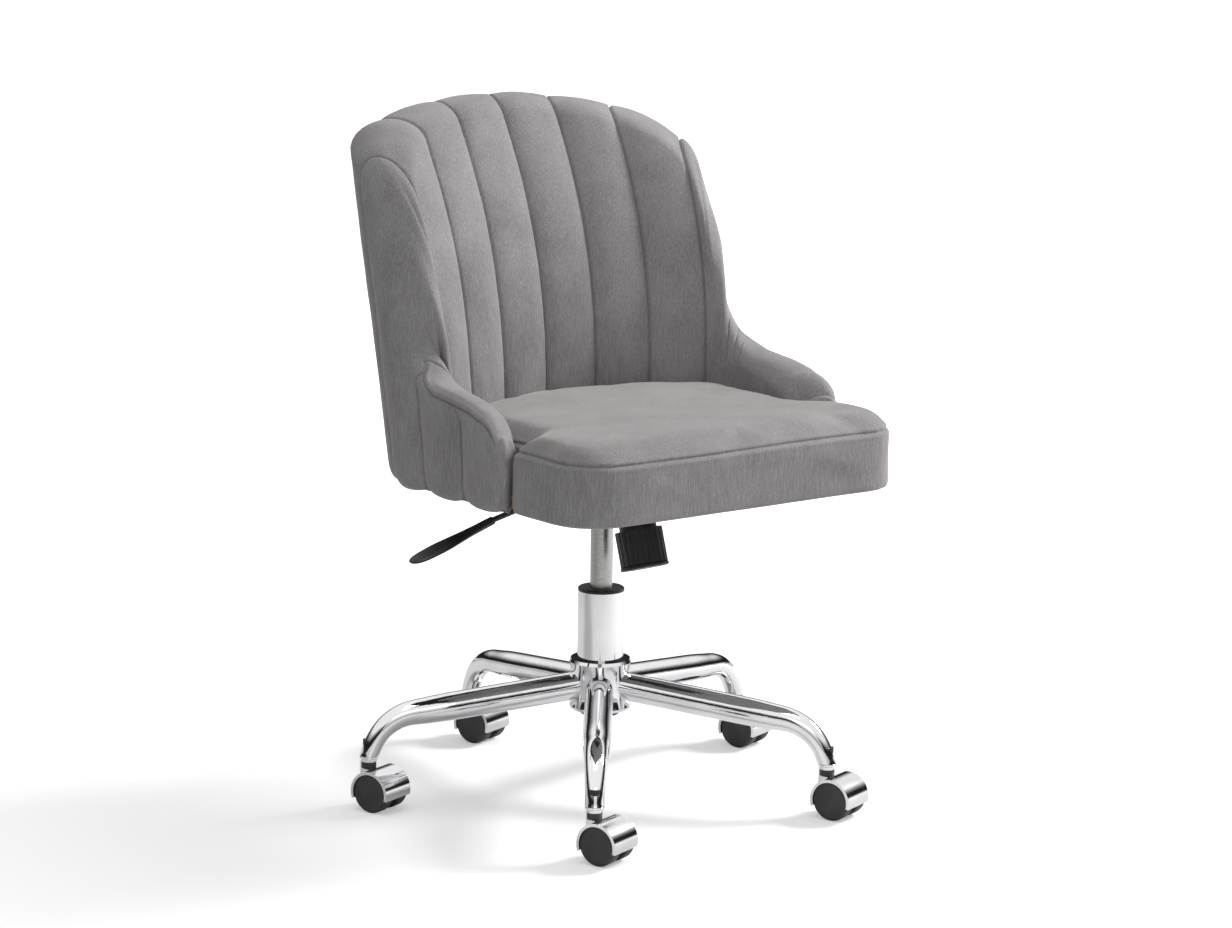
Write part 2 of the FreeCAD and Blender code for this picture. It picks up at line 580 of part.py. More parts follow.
def tongue_slot():
    """Slot in the tongue, along which it tips past the tension screw."""
    radius = SCREW_R + 1.5
    slot = cylinder(radius, -8, 12).fuse(cylinder(radius, -8, 12, 0, TONGUE_SLOT))
    slot = slot.fuse(block((-radius, radius), (0, TONGUE_SLOT), (-8, 12)))
    slot.Placement = Placement(along_screw(TONGUE_UP), Rotation(UP, SCREW_DOWN * -1))
    return slot


def seat_plate():
    """Top plate of the mechanism with two ears on the pivot and the tongue on the tension screw."""
    half = PLATE_HALF_X
    plate = block((-half, half), PLATE_Y, (PLATE_LOW, PLATE_TOP))
    corners = [e for e in plate.Edges if abs(e.BoundBox.ZLength - PLATE_T) < 0.01]
    plate = plate.makeFillet(14, corners)
    outer = HOUSE_HALF - HOUSE_T - GAP
    # side view of an ear, from the plate down past the pivot and forward to the tongue
    foot = PIVOT_Z - 11
    rear = -BLOCK_HALF_Y - EAR_CLEAR
    nose = along_screw(TONGUE_UP) + Vector(0, -math.cos(math.radians(NOSE_TILT)),
                                           math.sin(math.radians(NOSE_TILT))) * 17
    ear = [(rear, PLATE_LOW), (rear, foot + 2), (rear - 4, foot), (PIVOT_Y - 4, foot), (nose.y, nose.z),
           (nose.y, PLATE_LOW)]
    shape = plate
    for x in (-outer, outer - EAR_T):
        shape = shape.fuse(polygon_solid([Vector(x, y, z) for y, z in ear], Vector(EAR_T, 0, 0)))
    tongue = Part.makeBox(2 * outer, 34, PLATE_T, Vector(-outer, -17, 0))
    tongue.Placement = Placement(along_screw(TONGUE_UP), Rotation(UP, SCREW_DOWN * -1))
    shape = shape.fuse(tongue).cut(tongue_slot())
    shape = shape.cut(Part.makeCylinder(PIVOT_R + RUN, 200, Vector(-100, PIVOT_Y, PIVOT_Z), Vector(1, 0, 0)))
    for x, y in bolt_places():
        shape = shape.cut(cylinder(BOLT_R + HOLE, 0, 999, x, y))
    return shape.removeSplitter()


def hexagon(radius, z0, z1, x, y):
    ring = [Vector(x + radius * math.cos(math.pi * i / 3), y + radius * math.sin(math.pi * i / 3), z0)
            for i in range(6)]
    return polygon_solid(ring, Vector(0, 0, z1 - z0))


def seat_bolts():
    bolts = []
    for x, y in bolt_places():
        head = hexagon(BOLT_HEAD_R * 1.12, PLATE_LOW - BOLT_HEAD_H, PLATE_LOW, x, y)
        bolts.append(head.fuse(cylinder(BOLT_R, PLATE_LOW, BOARD_TOP + NUT_FLANGE, x, y)))
    return group(bolts)


def seat_nuts():
    """Four flanged nuts, driven into the board from above."""
    nuts = []
    for x, y in bolt_places():
        nut = cylinder(NUT_R, PLATE_TOP, BOARD_TOP, x, y)
        nut = nut.fuse(cylinder(NUT_FLANGE_R, BOARD_TOP, BOARD_TOP + NUT_FLANGE, x, y))
        nuts.append(nut.cut(cylinder(BOLT_R, 0, 999, x, y)))
    return group(nuts)


def rounded_slab(half, y0, y1, corner, z0, z1):
    """A slab with its two front corners rounded."""
    slab = block((-half, half), (y0, y1), (z0, z1))
    fronts = [e for e in slab.Edges if e.BoundBox.YMax < y0 + 0.01 and e.BoundBox.ZLength > (z1 - z0) / 2]
    return slab.makeFillet(corner, fronts)


def plan_wire(z, half, rear, corner, rear_r, front=ARM_FRONT - 60.0):
    """Outline at one height: straight sides, two tangent corner arcs and a wide rear arc."""
    rear_c = rear - rear_r
    cx = half - corner
    cy = rear_c + math.sqrt((rear_r - corner) ** 2 - cx ** 2)
    turn = math.atan2(cx, cy - rear_c)
    tangent = Vector(rear_r * math.sin(turn), rear_c + rear_r * math.cos(turn), z)
    bend = (math.pi / 2 - turn) / 2
    mid = Vector(cx + corner * math.cos(bend), cy + corner * math.sin(bend), z)
    side, end = Vector(half, cy, z), Vector(half, front, z)

    def mirror(p):
        return Vector(-p.x, p.y, p.z)
    edges = [Part.LineSegment(end, side).toShape(), Part.Arc(side, mid, tangent).toShape(),
             Part.Arc(tangent, Vector(0, rear, z), mirror(tangent)).toShape(),
             Part.Arc(mirror(tangent), mirror(mid), mirror(side)).toShape(),
             Part.LineSegment(mirror(side), mirror(end)).toShape(),
             Part.LineSegment(mirror(end), end).toShape()]
    return Part.Wire(edges)


def share(z, low, high):
    return max(0.0, min(1.15, (z - low) / (high - low)))


def outer_form(inset, low, tuck=0.0):
    """Solid inside the back's outer face, moved in by inset, from low up past the top."""
    wires = []
    heights = [low] + ([low + 22.0] if tuck else []) + [540.0, 700.0, BACK_TOP + 6.0]
    for z in heights:
        t = (z - BACK_FROM) / (BACK_TOP - BACK_FROM)
        rear = OUT_REAR_LOW + (OUT_REAR_TOP - OUT_REAR_LOW) * t
        corner = OUT_CORNER_LOW + (OUT_CORNER_TOP - OUT_CORNER_LOW) * t
        more = inset + (tuck if z == low else 0.0)
        wires.append(plan_wire(z, OUT_HALF - more, rear - more, corner - more, OUT_REAR_R - more))
    return Part.makeLoft(wires, True)


def inner_form(low, grow=0.0):
    """Space in front of the back's inner face, between the arms, from low up past the top."""
    wires = []
    for z in (low, 500.0, 580.0, 660.0, 740.0, 810.0, BACK_TOP + 6.0):
        t = share(z, IN_FROM, BACK_TOP)
        half = IN_HALF_LOW + (IN_HALF_TOP - IN_HALF_LOW) * t - grow
        rear = IN_REAR_LOW + (IN_REAR_TOP - IN_REAR_LOW) * t ** IN_POWER - grow
        radius = IN_R_LOW + (IN_R_TOP - IN_R_LOW) * t - grow
        wires.append(plan_wire(z, half, rear, IN_CORNER - grow, radius, ARM_FRONT - 80.0))
    return Part.makeLoft(wires, True)


def back_profile(inset, low):
    """Side view of arms and wings, extruded across, under the arch of the front view."""
    def p(y, z):
        return Vector(-400, y, z)
    front = ARM_FRONT + inset
    ridge = Part.BSplineCurve()
    arm = [(-107, 523), (-83, 528), (-38, 535), (10, 546), (37, 565), (57, 593), (68, 651), (98, 718),
           (124, 774), (150, 830), (168, 870)]
    ridge.interpolate(Points=[p(y + inset * 0.85, z - inset * 0.75) for y, z in arm],
                      InitialTangent=Vector(0, 1, 0.15))
    start = ridge.value(ridge.FirstParameter)
    knee_z = start.z - (start.y - front)
    corner = Part.Arc(p(front, knee_z), p(front + 0.29 * (start.y - front), start.z - 0.29 * (start.y - front)),
                      start).toShape()
    top = ridge.value(ridge.LastParameter)
    lines = Part.makePolygon([top, p(400, top.z), p(400, low), p(front, low), p(front, knee_z)])
    side = Part.Face(Part.Wire([ridge.toShape()] + lines.Edges + [corner])).extrude(Vector(800, 0, 0))
    return side.common(arch_form(inset, low))


def arch_form(inset, low):
    """Front view of the back: straight sides, round shoulders and an arched top."""
    half, high = OUT_HALF + 1.0 - inset, BACK_TOP - inset
    corner, crown = SHOULDER_R - inset, CROWN_R - inset
    cx = half - corner
    cz = high - crown + math.sqrt((crown - corner) ** 2 - cx ** 2)
    turn = math.atan2(cx, cz - (high - crown))
    bend = (math.pi / 2 - turn) / 2

    def q(x, z):
        return Vector(x, -400, z)
    tx, tz = crown * math.sin(turn), high - crown + crown * math.cos(turn)
    mx, mz = cx + corner * math.cos(bend), cz + corner * math.sin(bend)
    edges = [Part.LineSegment(q(half, low), q(half, cz)).toShape(),
             Part.Arc(q(half, cz), q(mx, mz), q(tx, tz)).toShape(),
             Part.Arc(q(tx, tz), q(0, high), q(-tx, tz)).toShape(),
             Part.Arc(q(-tx, tz), q(-mx, mz), q(-half, cz)).toShape(),
             Part.LineSegment(q(-half, cz), q(-half, low)).toShape(),
             Part.LineSegment(q(-half, low), q(half, low)).toShape()]
    return Part.Face(Part.Wire(edges)).extrude(Vector(0, 800, 0))


def back_outer_cover():
    """Outer padding and fabric, lipped over the shell's top and front edges."""
    skin = outer_form(0.0, BACK_LOW, OUT_TUCK).common(back_profile(0.0, BACK_LOW))
    core = outer_form(COVER_T, BACK_LOW - 1).common(back_profile(LIP, BACK_LOW - 1))
    cover = skin.cut(core).cut(inner_form(BACK_LOW - 2))
    # the lip stops above the board, which passes between the two sides
    half = OUT_HALF - COVER_T
    return cover.cut(block((-half, half), (ARM_FRONT - 1, ARM_FRONT + LIP + 1), (0, PAD_LOW)))


def back_shell():
    """Bent plywood shell between the two layers of padding."""
    outside = outer_form(COVER_T + GAP, PLATE_TOP).common(back_profile(LIP + GAP, PLATE_TOP))
    return outside.cut(outer_form(COVER_T + GAP + SHELL_T, PLATE_TOP - 1)).cut(bracket_screws())


def back_inner_pad():
    """Channelled padding on the shell's inner side."""
    outside = outer_form(COVER_T + 2 * GAP + SHELL_T, PAD_LOW).common(back_profile(LIP + GAP, PAD_LOW))
    return outside.cut(inner_form(PAD_LOW - 1))


def seat_plan(inset, low, high):
    """Plan of the seat: wide in front of the arms, between them as the inner face runs."""
    split = ARM_FRONT - GAP - 0.5
    front = rounded_slab(SEAT_HALF - inset, SEAT_FRONT + inset, split - inset, SEAT_CORNER - inset, low, high)
    gap = GAP + 0.5 + inset
    wire = plan_wire(low, IN_HALF_LOW - gap, IN_REAR_LOW - gap, IN_CORNER - gap, IN_R_LOW - gap, split - inset - 30)
    rear = Part.Face(wire).extrude(Vector(0, 0, high - low))
    return front.fuse(rear).removeSplitter()


def board_plan(low, high, less=0.0):
    """Plan of the board: to the shell all round at the rear, inside the skirt at the front."""
    front = rounded_slab(SEAT_HALF - SKIRT - less, SEAT_FRONT + SKIRT + less, ARM_FRONT - less, SEAT_CORNER - SKIRT,
                         low, high)
    off = COVER_T + SHELL_T + 2 * GAP + less + 4.0
    rear = outer_form(off, low - 1)
    front_limit = block((-400, 400), (ARM_FRONT - 20, 400), (low, high))
    return front.fuse(rear.common(front_limit)).removeSplitter()


def seat_board():
    board = board_plan(PLATE_TOP, BOARD_TOP)
    for x, y in bolt_places():
        board = board.cut(cylinder(NUT_R, 0, 999, x, y))
    return board.cut(bracket_screws())


def seat_cushion():
    """Foam and cover: a box seat with rounded upper edges and a skirt round the board."""
    form = seat_plan(0.0, SEAT_LOW, SEAT_TOP)
    upper = [e for e in form.Edges if e.BoundBox.ZMin > SEAT_TOP - 0.01]
    form = form.makeFillet(SEAT_CROWN, upper)
    pocket = board_plan(SEAT_LOW - 1, BOARD_TOP + GAP, -GAP)
    form = form.cut(pocket)
    nuts = [cylinder(NUT_FLANGE_R + GAP, BOARD_TOP, BOARD_TOP + NUT_FLANGE + 2 * GAP, x, y)
            for x, y in bolt_places()]
    for nut in nuts:
        form = form.cut(nut)
    return form


def dust_cover():
    """Black cloth under the board, open round the seat plate."""
    high = PLATE_LOW - GAP
    low = high - CLOTH
    under_back = outer_form(COVER_T + GAP, low - 1).common(block((-400, 400), (ARM_FRONT, 400), (low, high)))
    sheet = board_plan(low, high, 1.0).fuse(under_back).removeSplitter()
    half = PLATE_HALF_X + 4
    return sheet.cut(block((-half, half), (PLATE_Y[0] - 4, PLATE_Y[1] + 4), (0, 999)))


def bracket_places():
    """Three straps that tie the board to the shell's lower edge: left, right and rear."""
    middle = OUT_HALF - COVER_T - SHELL_T / 2 - GAP
    rear = OUT_REAR_LOW + (OUT_REAR_TOP - OUT_REAR_LOW) * (PLATE_TOP - BACK_FROM) / (BACK_TOP - BACK_FROM)
    return ((-middle, 0.0, 180.0), (middle, 0.0, 0.0), (0.0, rear - COVER_T - SHELL_T / 2 - GAP, 90.0))


def strap_screws(x, y, turn):
    """Countersunk screws of one strap: two up into the board and one up into the shell."""
    way = Vector(math.cos(math.radians(turn)), math.sin(math.radians(turn)), 0)
    aside = Vector(-way.y, way.x, 0) * (BRACKET_W / 4)
    root = Vector(x, y, 0) - way * (BRACKET_L - 16)
    under = PLATE_TOP - BRACKET_T
    screws = []
    for spot, top in ((root + aside, BOARD_TOP - 2), (root - aside, BOARD_TOP - 2),
                      (Vector(x, y, 0), PLATE_TOP + SHELL_BITE)):
        shank = cylinder(SCREW_SMALL_R, under, top, spot.x, spot.y)
        head = Part.makeCone(SCREW_SMALL_HEAD_R, SCREW_SMALL_R, 1.8, Vector(spot.x, spot.y, under))
        screws.append(shank.fuse(head).removeSplitter())
    return screws


def bracket_screws():
    return group([screw for place in bracket_places() for screw in strap_screws(*place)])


def back_brackets():
    straps = []
    for place in bracket_places():
        x, y, turn = place
        strap = block((-BRACKET_L, 4.0), (-BRACKET_W / 2, BRACKET_W / 2), (PLATE_TOP - BRACKET_T, PLATE_TOP))
        strap.rotate(Vector(0, 0, 0), UP, turn)
        strap.translate(Vector(x, y, 0))
        straps.append(strap.cut(group(strap_screws(*place))))
    return group(straps)


def main():
    leg, socket = base_leg(), caster_socket()
    save("base_hub", base_hub())
    for i in range(LEGS):
        save("base_leg_%d" % (i + 1), at_leg(leg, i))
    save("caster_sockets", group([at_leg(socket, i) for i in range(LEGS)]))
    caster = {"hood": caster_hood(), "stem": caster_stem(), "axle": caster_axle(),
              "wheel_left": caster_wheel(1), "wheel_right": caster_wheel(-1)}
    for i in range(LEGS):
        for name, shape in caster.items():
            save("caster_%d_%s" % (i + 1, name), at_stem(shape, i))
    for piece in (column_tube, column_sleeve, sleeve_ring, guide_bush, thrust_bearing, retaining_clip,
                  piston_rod, gas_cylinder, valve_pin, mechanism_housing, pivot_pin, tension_bolt,
                  tension_spring, tension_knob, lever_bush, lever_rod, lever_paddle, seat_plate,
                  seat_bolts, seat_nuts, seat_board, seat_cushion, dust_cover, back_shell,
                  back_inner_pad, back_outer_cover, back_brackets, bracket_screws):
        save(piece.__name__, piece())


main()
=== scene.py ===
import json
import math

import bmesh
import bpy
import numpy as np
from mathutils import Matrix, Vector, noise


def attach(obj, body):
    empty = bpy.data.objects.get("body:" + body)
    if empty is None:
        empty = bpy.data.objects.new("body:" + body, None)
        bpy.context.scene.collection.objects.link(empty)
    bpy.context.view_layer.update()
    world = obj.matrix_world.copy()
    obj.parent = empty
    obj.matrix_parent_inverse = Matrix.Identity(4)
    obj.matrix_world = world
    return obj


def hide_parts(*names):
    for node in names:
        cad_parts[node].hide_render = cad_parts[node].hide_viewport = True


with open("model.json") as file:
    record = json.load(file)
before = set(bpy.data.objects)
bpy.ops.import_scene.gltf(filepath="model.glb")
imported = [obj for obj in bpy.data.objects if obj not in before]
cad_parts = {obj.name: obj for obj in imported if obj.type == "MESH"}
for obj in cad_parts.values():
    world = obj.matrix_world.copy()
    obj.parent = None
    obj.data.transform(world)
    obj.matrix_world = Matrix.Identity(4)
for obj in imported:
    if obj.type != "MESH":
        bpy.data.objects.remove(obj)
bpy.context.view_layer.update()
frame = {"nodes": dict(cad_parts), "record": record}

# Upholstered swivel chair: a channelled bucket back, a box seat, a gas lift and a star base on casters.
# Lengths in the shape functions are millimetres; meshes are made in metres.
MM = 0.001

# ---- the back's plan, as the frame has it ----
OUT_HALF = 262.0                      # half width over the arms
OUT_REAR = (435.0, 182.0, 859.0, 262.0)     # height, rear y, height, rear y
OUT_CORNER = (116.0, 92.0)
OUT_REAR_R = 900.0
IN_HALF = (215.0, 228.0)
IN_REAR = (117.0, 230.0)
IN_FROM, IN_TO, IN_POWER = 485.0, 859.0, 2.2
IN_REAR_R = (315.0, 402.0)
IN_CORNER = 60.0
ARM_FRONT = -145.0
ARM_BEVEL = 32.0                      # an arm's inner side ends this far behind its outer side
ARM_ROUND_Y, ARM_ROUND_Z, ARM_ROUND_R = -84.0, 485.0, 38.0    # rounded top of an arm's front
RIDGE = ((-107, 519), (-83, 526), (-38, 535), (10, 546), (37, 565), (57, 593), (68, 651),
         (98, 718), (124, 774), (150, 830), (168, 870))
ARCH_HALF, ARCH_TOP, ARCH_SHOULDER, ARCH_CROWN = 263.0, 855.5, 120.0, 740.0
ARCH_BLEND = 30.0                     # height over which the arch runs into the wings' front edges
PAD_LOW, COVER_LOW, TUCK = 427.0, 405.5, 10.0

# ---- channels ----
OUT_PITCH = 94.0                      # width of a channel on the outer face
IN_PITCH = (71.5, 77.0)               # and on the inner face, at the bottom and the top
INNER_SEAMS = 3                       # the outermost inner seam, counted from the middle
ARM_SEAM = 3.8                        # where the seam across the arm meets the outer edge
FRONT_SEAM = 5.96                     # the arm's front edge, on the same scale
PUFF_IN, PUFF_OUT, PUFF_TOP = 8.0, 8.0, 2.4    # fullness of a channel inside, outside and over the top
PLAIN_IN, PROUD_OUT = 4.0, 1.0        # fullness of the plain panels; the outer crests stand this far proud
GROOVE = 3.2                          # depth of a stitched groove below the cover
ROLL_IN = (24.0, 40.0, 24.0)           # inner rounding of the rim: back, wings, arms
ROLL_OUT = (13.0, 36.0, 9.5)           # and the outer rounding
STEEPEST = 3.0                        # slope of the rim beyond which its rounding grows no taller


def mesh_piece(name, points, faces, body, material):
    """A smooth-shaded piece from points in millimetres, riding on a body."""
    mesh = bpy.data.meshes.new(name)
    mesh.from_pydata([tuple(float(c) * MM for c in p) for p in points], [], [tuple(f) for f in faces])
    mesh.update()
    mesh.shade_smooth()
    piece = bpy.data.objects.new(name, mesh)
    bpy.context.scene.collection.objects.link(piece)
    mesh.materials.append(material)
    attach(piece, body)
    return piece


# ---------------------------------------------------------------- materials

def linear(code):
    """An sRGB hex colour as linear RGBA."""
    parts = [int(code[i:i + 2], 16) / 255 for i in (1, 3, 5)]
    return tuple(c / 12.92 if c <= 0.04045 else ((c + 0.055) / 1.055) ** 2.4 for c in parts) + (1.0,)


def add(tree, kind, inputs=None, **settings):
    """Adds a node: settings are its own, inputs are values or the sockets that feed it."""
    node = tree.nodes.new(kind)
    for key, value in settings.items():
        setattr(node, key, value)
    for key, value in (inputs or {}).items():
        if isinstance(value, bpy.types.NodeSocket):
            tree.links.new(value, node.inputs[key])
        else:
            node.inputs[key].default_value = value
    return node


def blank(name):
    material = bpy.data.materials.new(name)
    material.use_nodes = True
    tree = material.node_tree
    tree.nodes.clear()
    return material, tree


def grain(tree, size, detail=2.0, rough=0.5, stretch=(1.0, 1.0, 1.0), distort=0.0):
    """Noise with features of about size millimetres, drawn out by stretch along the axes."""
    where = add(tree, "ShaderNodeTexCoord").outputs["Object"]
    scale = tuple(1000.0 / (size * s) for s in stretch)
    mapped = add(tree, "ShaderNodeMapping", {"Vector": where, "Scale": scale})
    settings = {"Vector": mapped.outputs["Vector"], "Scale": 1.0, "Detail": detail, "Roughness": rough,
                "Distortion": distort}
    return add(tree, "ShaderNodeTexNoise", settings).outputs["Fac"]


def spread(tree, value, low, high, to_low=0.0, to_high=1.0):
    return add(tree, "ShaderNodeMapRange", {"Value": value, "From Min": low, "From Max": high,
                                            "To Min": to_low, "To Max": to_high}).outputs["Result"]


def mixed(tree, amount, first, second):
    node = add(tree, "ShaderNodeMix", data_type="RGBA")
    for socket, value in ((0, amount), (6, first), (7, second)):
        if isinstance(value, bpy.types.NodeSocket):
            tree.links.new(value, node.inputs[socket])
        else:
            node.inputs[socket].default_value = value
    return node.outputs[2]


def finish_surface(material, tree, inputs, height=None, relief=0.0):
    """The shader and output, with a bump of relief millimetres if there is a height."""
    inputs = dict(inputs)
    if height is not None:
        inputs["Normal"] = add(tree, "ShaderNodeBump", {"Height": height, "Strength": 1.0,
                                                        "Distance": relief * MM}).outputs["Normal"]
    shader = add(tree, "ShaderNodeBsdfPrincipled", inputs)
    add(tree, "ShaderNodeOutputMaterial", {"Surface": shader.outputs["BSDF"]})
    return material


def chenille():
    """Chenille velvet, woven: fine upright slubs in the yarn, and patches where the pile lies another way."""
    material, tree = blank("chenille_velvet")
    slub = grain(tree, 1.7, detail=2.0, rough=0.6, stretch=(1, 1, 12))
    pile = grain(tree, 1.2, detail=1.0, rough=0.7, stretch=(1, 1, 2.5))
    patch = grain(tree, 60.0, detail=3.0, rough=0.55, stretch=(1.2, 1, 1.5), distort=0.4)
    base = mixed(tree, spread(tree, patch, 0.30, 0.70), linear("#817f7f"), linear("#959393"))
    worn = mixed(tree, spread(tree, slub, 0.40, 0.70, 0.0, 0.40), base, linear("#afaeae"))
    dark = mixed(tree, spread(tree, pile, 0.32, 0.58, 0.34, 0.0), worn, linear("#646262"))
    height = add(tree, "ShaderNodeMath", {0: slub, 1: pile}, operation="ADD").outputs["Value"]
    return finish_surface(material, tree, {"Base Color": dark, "Roughness": 0.86, "Sheen Weight": 0.45,
                                           "Sheen Roughness": 0.38, "Sheen Tint": linear("#d8d4d2"),
                                           "Specular IOR Level": 0.18}, height, 0.3)


def chrome(name, colour, smear):
    """Chrome plate, polished: nearly white, mirror sharp, with a faint haze where it is handled."""
    material, tree = blank(name)
    haze = spread(tree, grain(tree, 34.0, detail=3.0), 0.35, 0.75, 0.035, smear)
    tone = mixed(tree, spread(tree, grain(tree, 60.0), 0.3, 0.7), linear(colour), linear("#f2f2f3"))
    return finish_surface(material, tree, {"Base Color": tone, "Metallic": 1.0, "Roughness": haze})


def ground_steel(name, colour, rough, stretch):
    """Ground steel: fine grinding lines round the part that blur the reflection."""
    material, tree = blank(name)
    lines = grain(tree, 0.9, detail=2.0, stretch=stretch)
    tone = mixed(tree, spread(tree, lines, 0.3, 0.7), linear(colour), linear("#c9c9c8"))
    gloss = spread(tree, lines, 0.3, 0.7, rough * 0.8, rough * 1.25)
    return finish_surface(material, tree, {"Base Color": tone, "Metallic": 1.0, "Roughness": gloss}, lines, 0.02)


def moulded(name, colour, light, rough, pebble):
    """Moulded plastic: a fine spark-eroded texture, slightly paler where it is rubbed."""
    material, tree = blank(name)
    skin = grain(tree, pebble, detail=3.0, rough=0.6)
    rub = spread(tree, grain(tree, 22.0, detail=3.0), 0.35, 0.75)
    tone = mixed(tree, rub, linear(colour), linear(light))
    gloss = spread(tree, rub, 0.0, 1.0, rough, rough * 0.8)
    return finish_surface(material, tree, {"Base Color": tone, "Roughness": gloss, "IOR": 1.49}, skin, 0.06)


def powder_coat():
    """Black powder coat, baked: low gloss with a slight orange peel."""
    material, tree = blank("black_powder_coat")
    peel = grain(tree, 1.6, detail=1.0)
    tone = mixed(tree, spread(tree, grain(tree, 40.0), 0.3, 0.7), linear("#1b1b1c"), linear("#262627"))
    return finish_surface(material, tree, {"Base Color": tone, "Roughness": 0.42, "IOR": 1.5}, peel, 0.04)


def birch_plywood():
    """Birch plywood, bent: pale long grain with darker glue lines at its edges."""
    material, tree = blank("birch_plywood")
    long_grain = grain(tree, 3.0, detail=4.0, stretch=(1, 14, 1))
    plies = add(tree, "ShaderNodeTexWave", {"Vector": add(tree, "ShaderNodeTexCoord").outputs["Object"],
                                            "Scale": 1000.0 / (1.5 * 20.0), "Distortion": 0.4},
                bands_direction="Z").outputs["Fac"]
    wood = mixed(tree, spread(tree, long_grain, 0.3, 0.7), linear("#c9a877"), linear("#b08d5e"))
    tone = mixed(tree, spread(tree, plies, 0.75, 1.0, 0.0, 0.4), wood, linear("#8a6a45"))
    return finish_surface(material, tree, {"Base Color": tone, "Roughness": 0.62}, long_grain, 0.08)


def spun_cloth():
    """Black spun-bonded cloth: matt, with the small embossed dots of its bonding."""
    material, tree = blank("black_spun_cloth")
    dots = add(tree, "ShaderNodeTexVoronoi", {"Vector": add(tree, "ShaderNodeTexCoord").outputs["Object"],
                                              "Scale": 1000.0 / 3.0, "Randomness": 0.35}).outputs["Distance"]
    tone = mixed(tree, spread(tree, dots, 0.1, 0.5), linear("#121212"), linear("#242424"))
    return finish_surface(material, tree, {"Base Color": tone, "Roughness": 0.95}, dots, 0.15)


def paint_frame():
    """A finish for every slot of the frame; returns them by slot."""
    made = {
        "seat_fabric": chenille(),
        "chrome_tube": chrome("polished_chrome", "#e4e4e6", 0.10),
        "chrome_hood": chrome("pressed_chrome", "#dededf", 0.16),
        "satin_steel": ground_steel("satin_steel", "#a9a8a6", 0.34, (8, 8, 1)),
        "bearing_steel": ground_steel("ground_bearing_steel", "#b4b4b3", 0.22, (6, 6, 1)),
        "spring_steel": ground_steel("oiled_spring_steel", "#4a4a4b", 0.30, (3, 3, 3)),
        "zinc_plate": ground_steel("bright_zinc", "#c3c3bf", 0.26, (3, 3, 3)),
        "black_steel": powder_coat(),
        "black_moulding": moulded("moulded_polypropylene", "#181718", "#252425", 0.46, 0.9),
        "black_wheel": moulded("moulded_nylon", "#343231", "#413f3e", 0.52, 1.1),
        "white_moulding": moulded("moulded_acetal", "#e2e1dc", "#d6d5cf", 0.40, 1.2),
        "plywood": birch_plywood(),
        "dust_cloth": spun_cloth(),
    }
    for part in frame["record"]["subparts"]:
        mesh = frame["nodes"][part["node"]].data
        mesh.materials.clear()
        mesh.materials.append(made[part["material_slot"]])
    return made


# ---------------------------------------------------------------- the upholstered back

def outline(length, half, rear, corner, rear_r):
    """Point and outward direction at a length along the right half of a plan outline, from the rear's middle."""
    rear_c = rear - rear_r
    cx = half - corner
    cy = rear_c + np.sqrt((rear_r - corner) ** 2 - cx ** 2)
    turn = np.arctan2(cx, cy - rear_c)
    on_rear = rear_r * turn
    on_corner = corner * (math.pi / 2 - turn)
    wide = length / rear_r
    tight = turn + (length - on_rear) / corner
    straight = length - on_rear - on_corner
    is_rear, is_side = length < on_rear, straight > 0
    x = np.where(is_rear, rear_r * np.sin(wide), np.where(is_side, half, cx + corner * np.sin(tight)))
    y = np.where(is_rear, rear_c + rear_r * np.cos(wide),
                 np.where(is_side, cy - straight, cy + corner * np.cos(tight)))
    nx = np.where(is_rear, np.sin(wide), np.where(is_side, 1.0, np.sin(tight)))
    ny = np.where(is_rear, np.cos(wide), np.where(is_side, 0.0, np.cos(tight)))
    return x, y, nx, ny


def length_to(front, half, rear, corner, rear_r):
    """Length of half an outline, from the rear's middle to the front of an arm."""
    rear_c = rear - rear_r
    cx = half - corner
    cy = rear_c + np.sqrt((rear_r - corner) ** 2 - cx ** 2)
    turn = np.arctan2(cx, cy - rear_c)
    return rear_r * turn + corner * (math.pi / 2 - turn) + cy - front


def outer_point(seam, z, end=ARM_FRONT):
    """The outer face at a place counted in channels, at a height."""
    low, rear_low, high, rear_high = OUT_REAR
    t = (z - low) / (high - low)
    rear = rear_low + (rear_high - rear_low) * t
    corner = OUT_CORNER[0] + (OUT_CORNER[1] - OUT_CORNER[0]) * t
    whole = length_to(end, OUT_HALF, rear, corner, OUT_REAR_R)
    s = np.abs(seam)
    near = s * OUT_PITCH
    kept = INNER_SEAMS * OUT_PITCH
    far = kept + (s - INNER_SEAMS) / (FRONT_SEAM - INNER_SEAMS) * (whole - kept)
    return outline(np.where(s <= INNER_SEAMS, near, far), OUT_HALF, rear, corner, OUT_REAR_R)


def inner_point(seam, z, end=ARM_FRONT):
    """The inner face at a place counted in channels, at a height."""
    t = np.clip((z - IN_FROM) / (IN_TO - IN_FROM), 0.0, 1.15)
    half = IN_HALF[0] + (IN_HALF[1] - IN_HALF[0]) * t
    rear = IN_REAR[0] + (IN_REAR[1] - IN_REAR[0]) * t ** IN_POWER
    radius = IN_REAR_R[0] + (IN_REAR_R[1] - IN_REAR_R[0]) * t
    pitch = IN_PITCH[0] + (IN_PITCH[1] - IN_PITCH[0]) * t
    whole = length_to(end, half, rear, IN_CORNER, radius)
    s = np.abs(seam)
    kept = INNER_SEAMS * pitch
    far = kept + (s - INNER_SEAMS) / (FRONT_SEAM - INNER_SEAMS) * (whole - kept)
    return outline(np.where(s <= INNER_SEAMS, s * pitch, far), half, rear, IN_CORNER, radius)


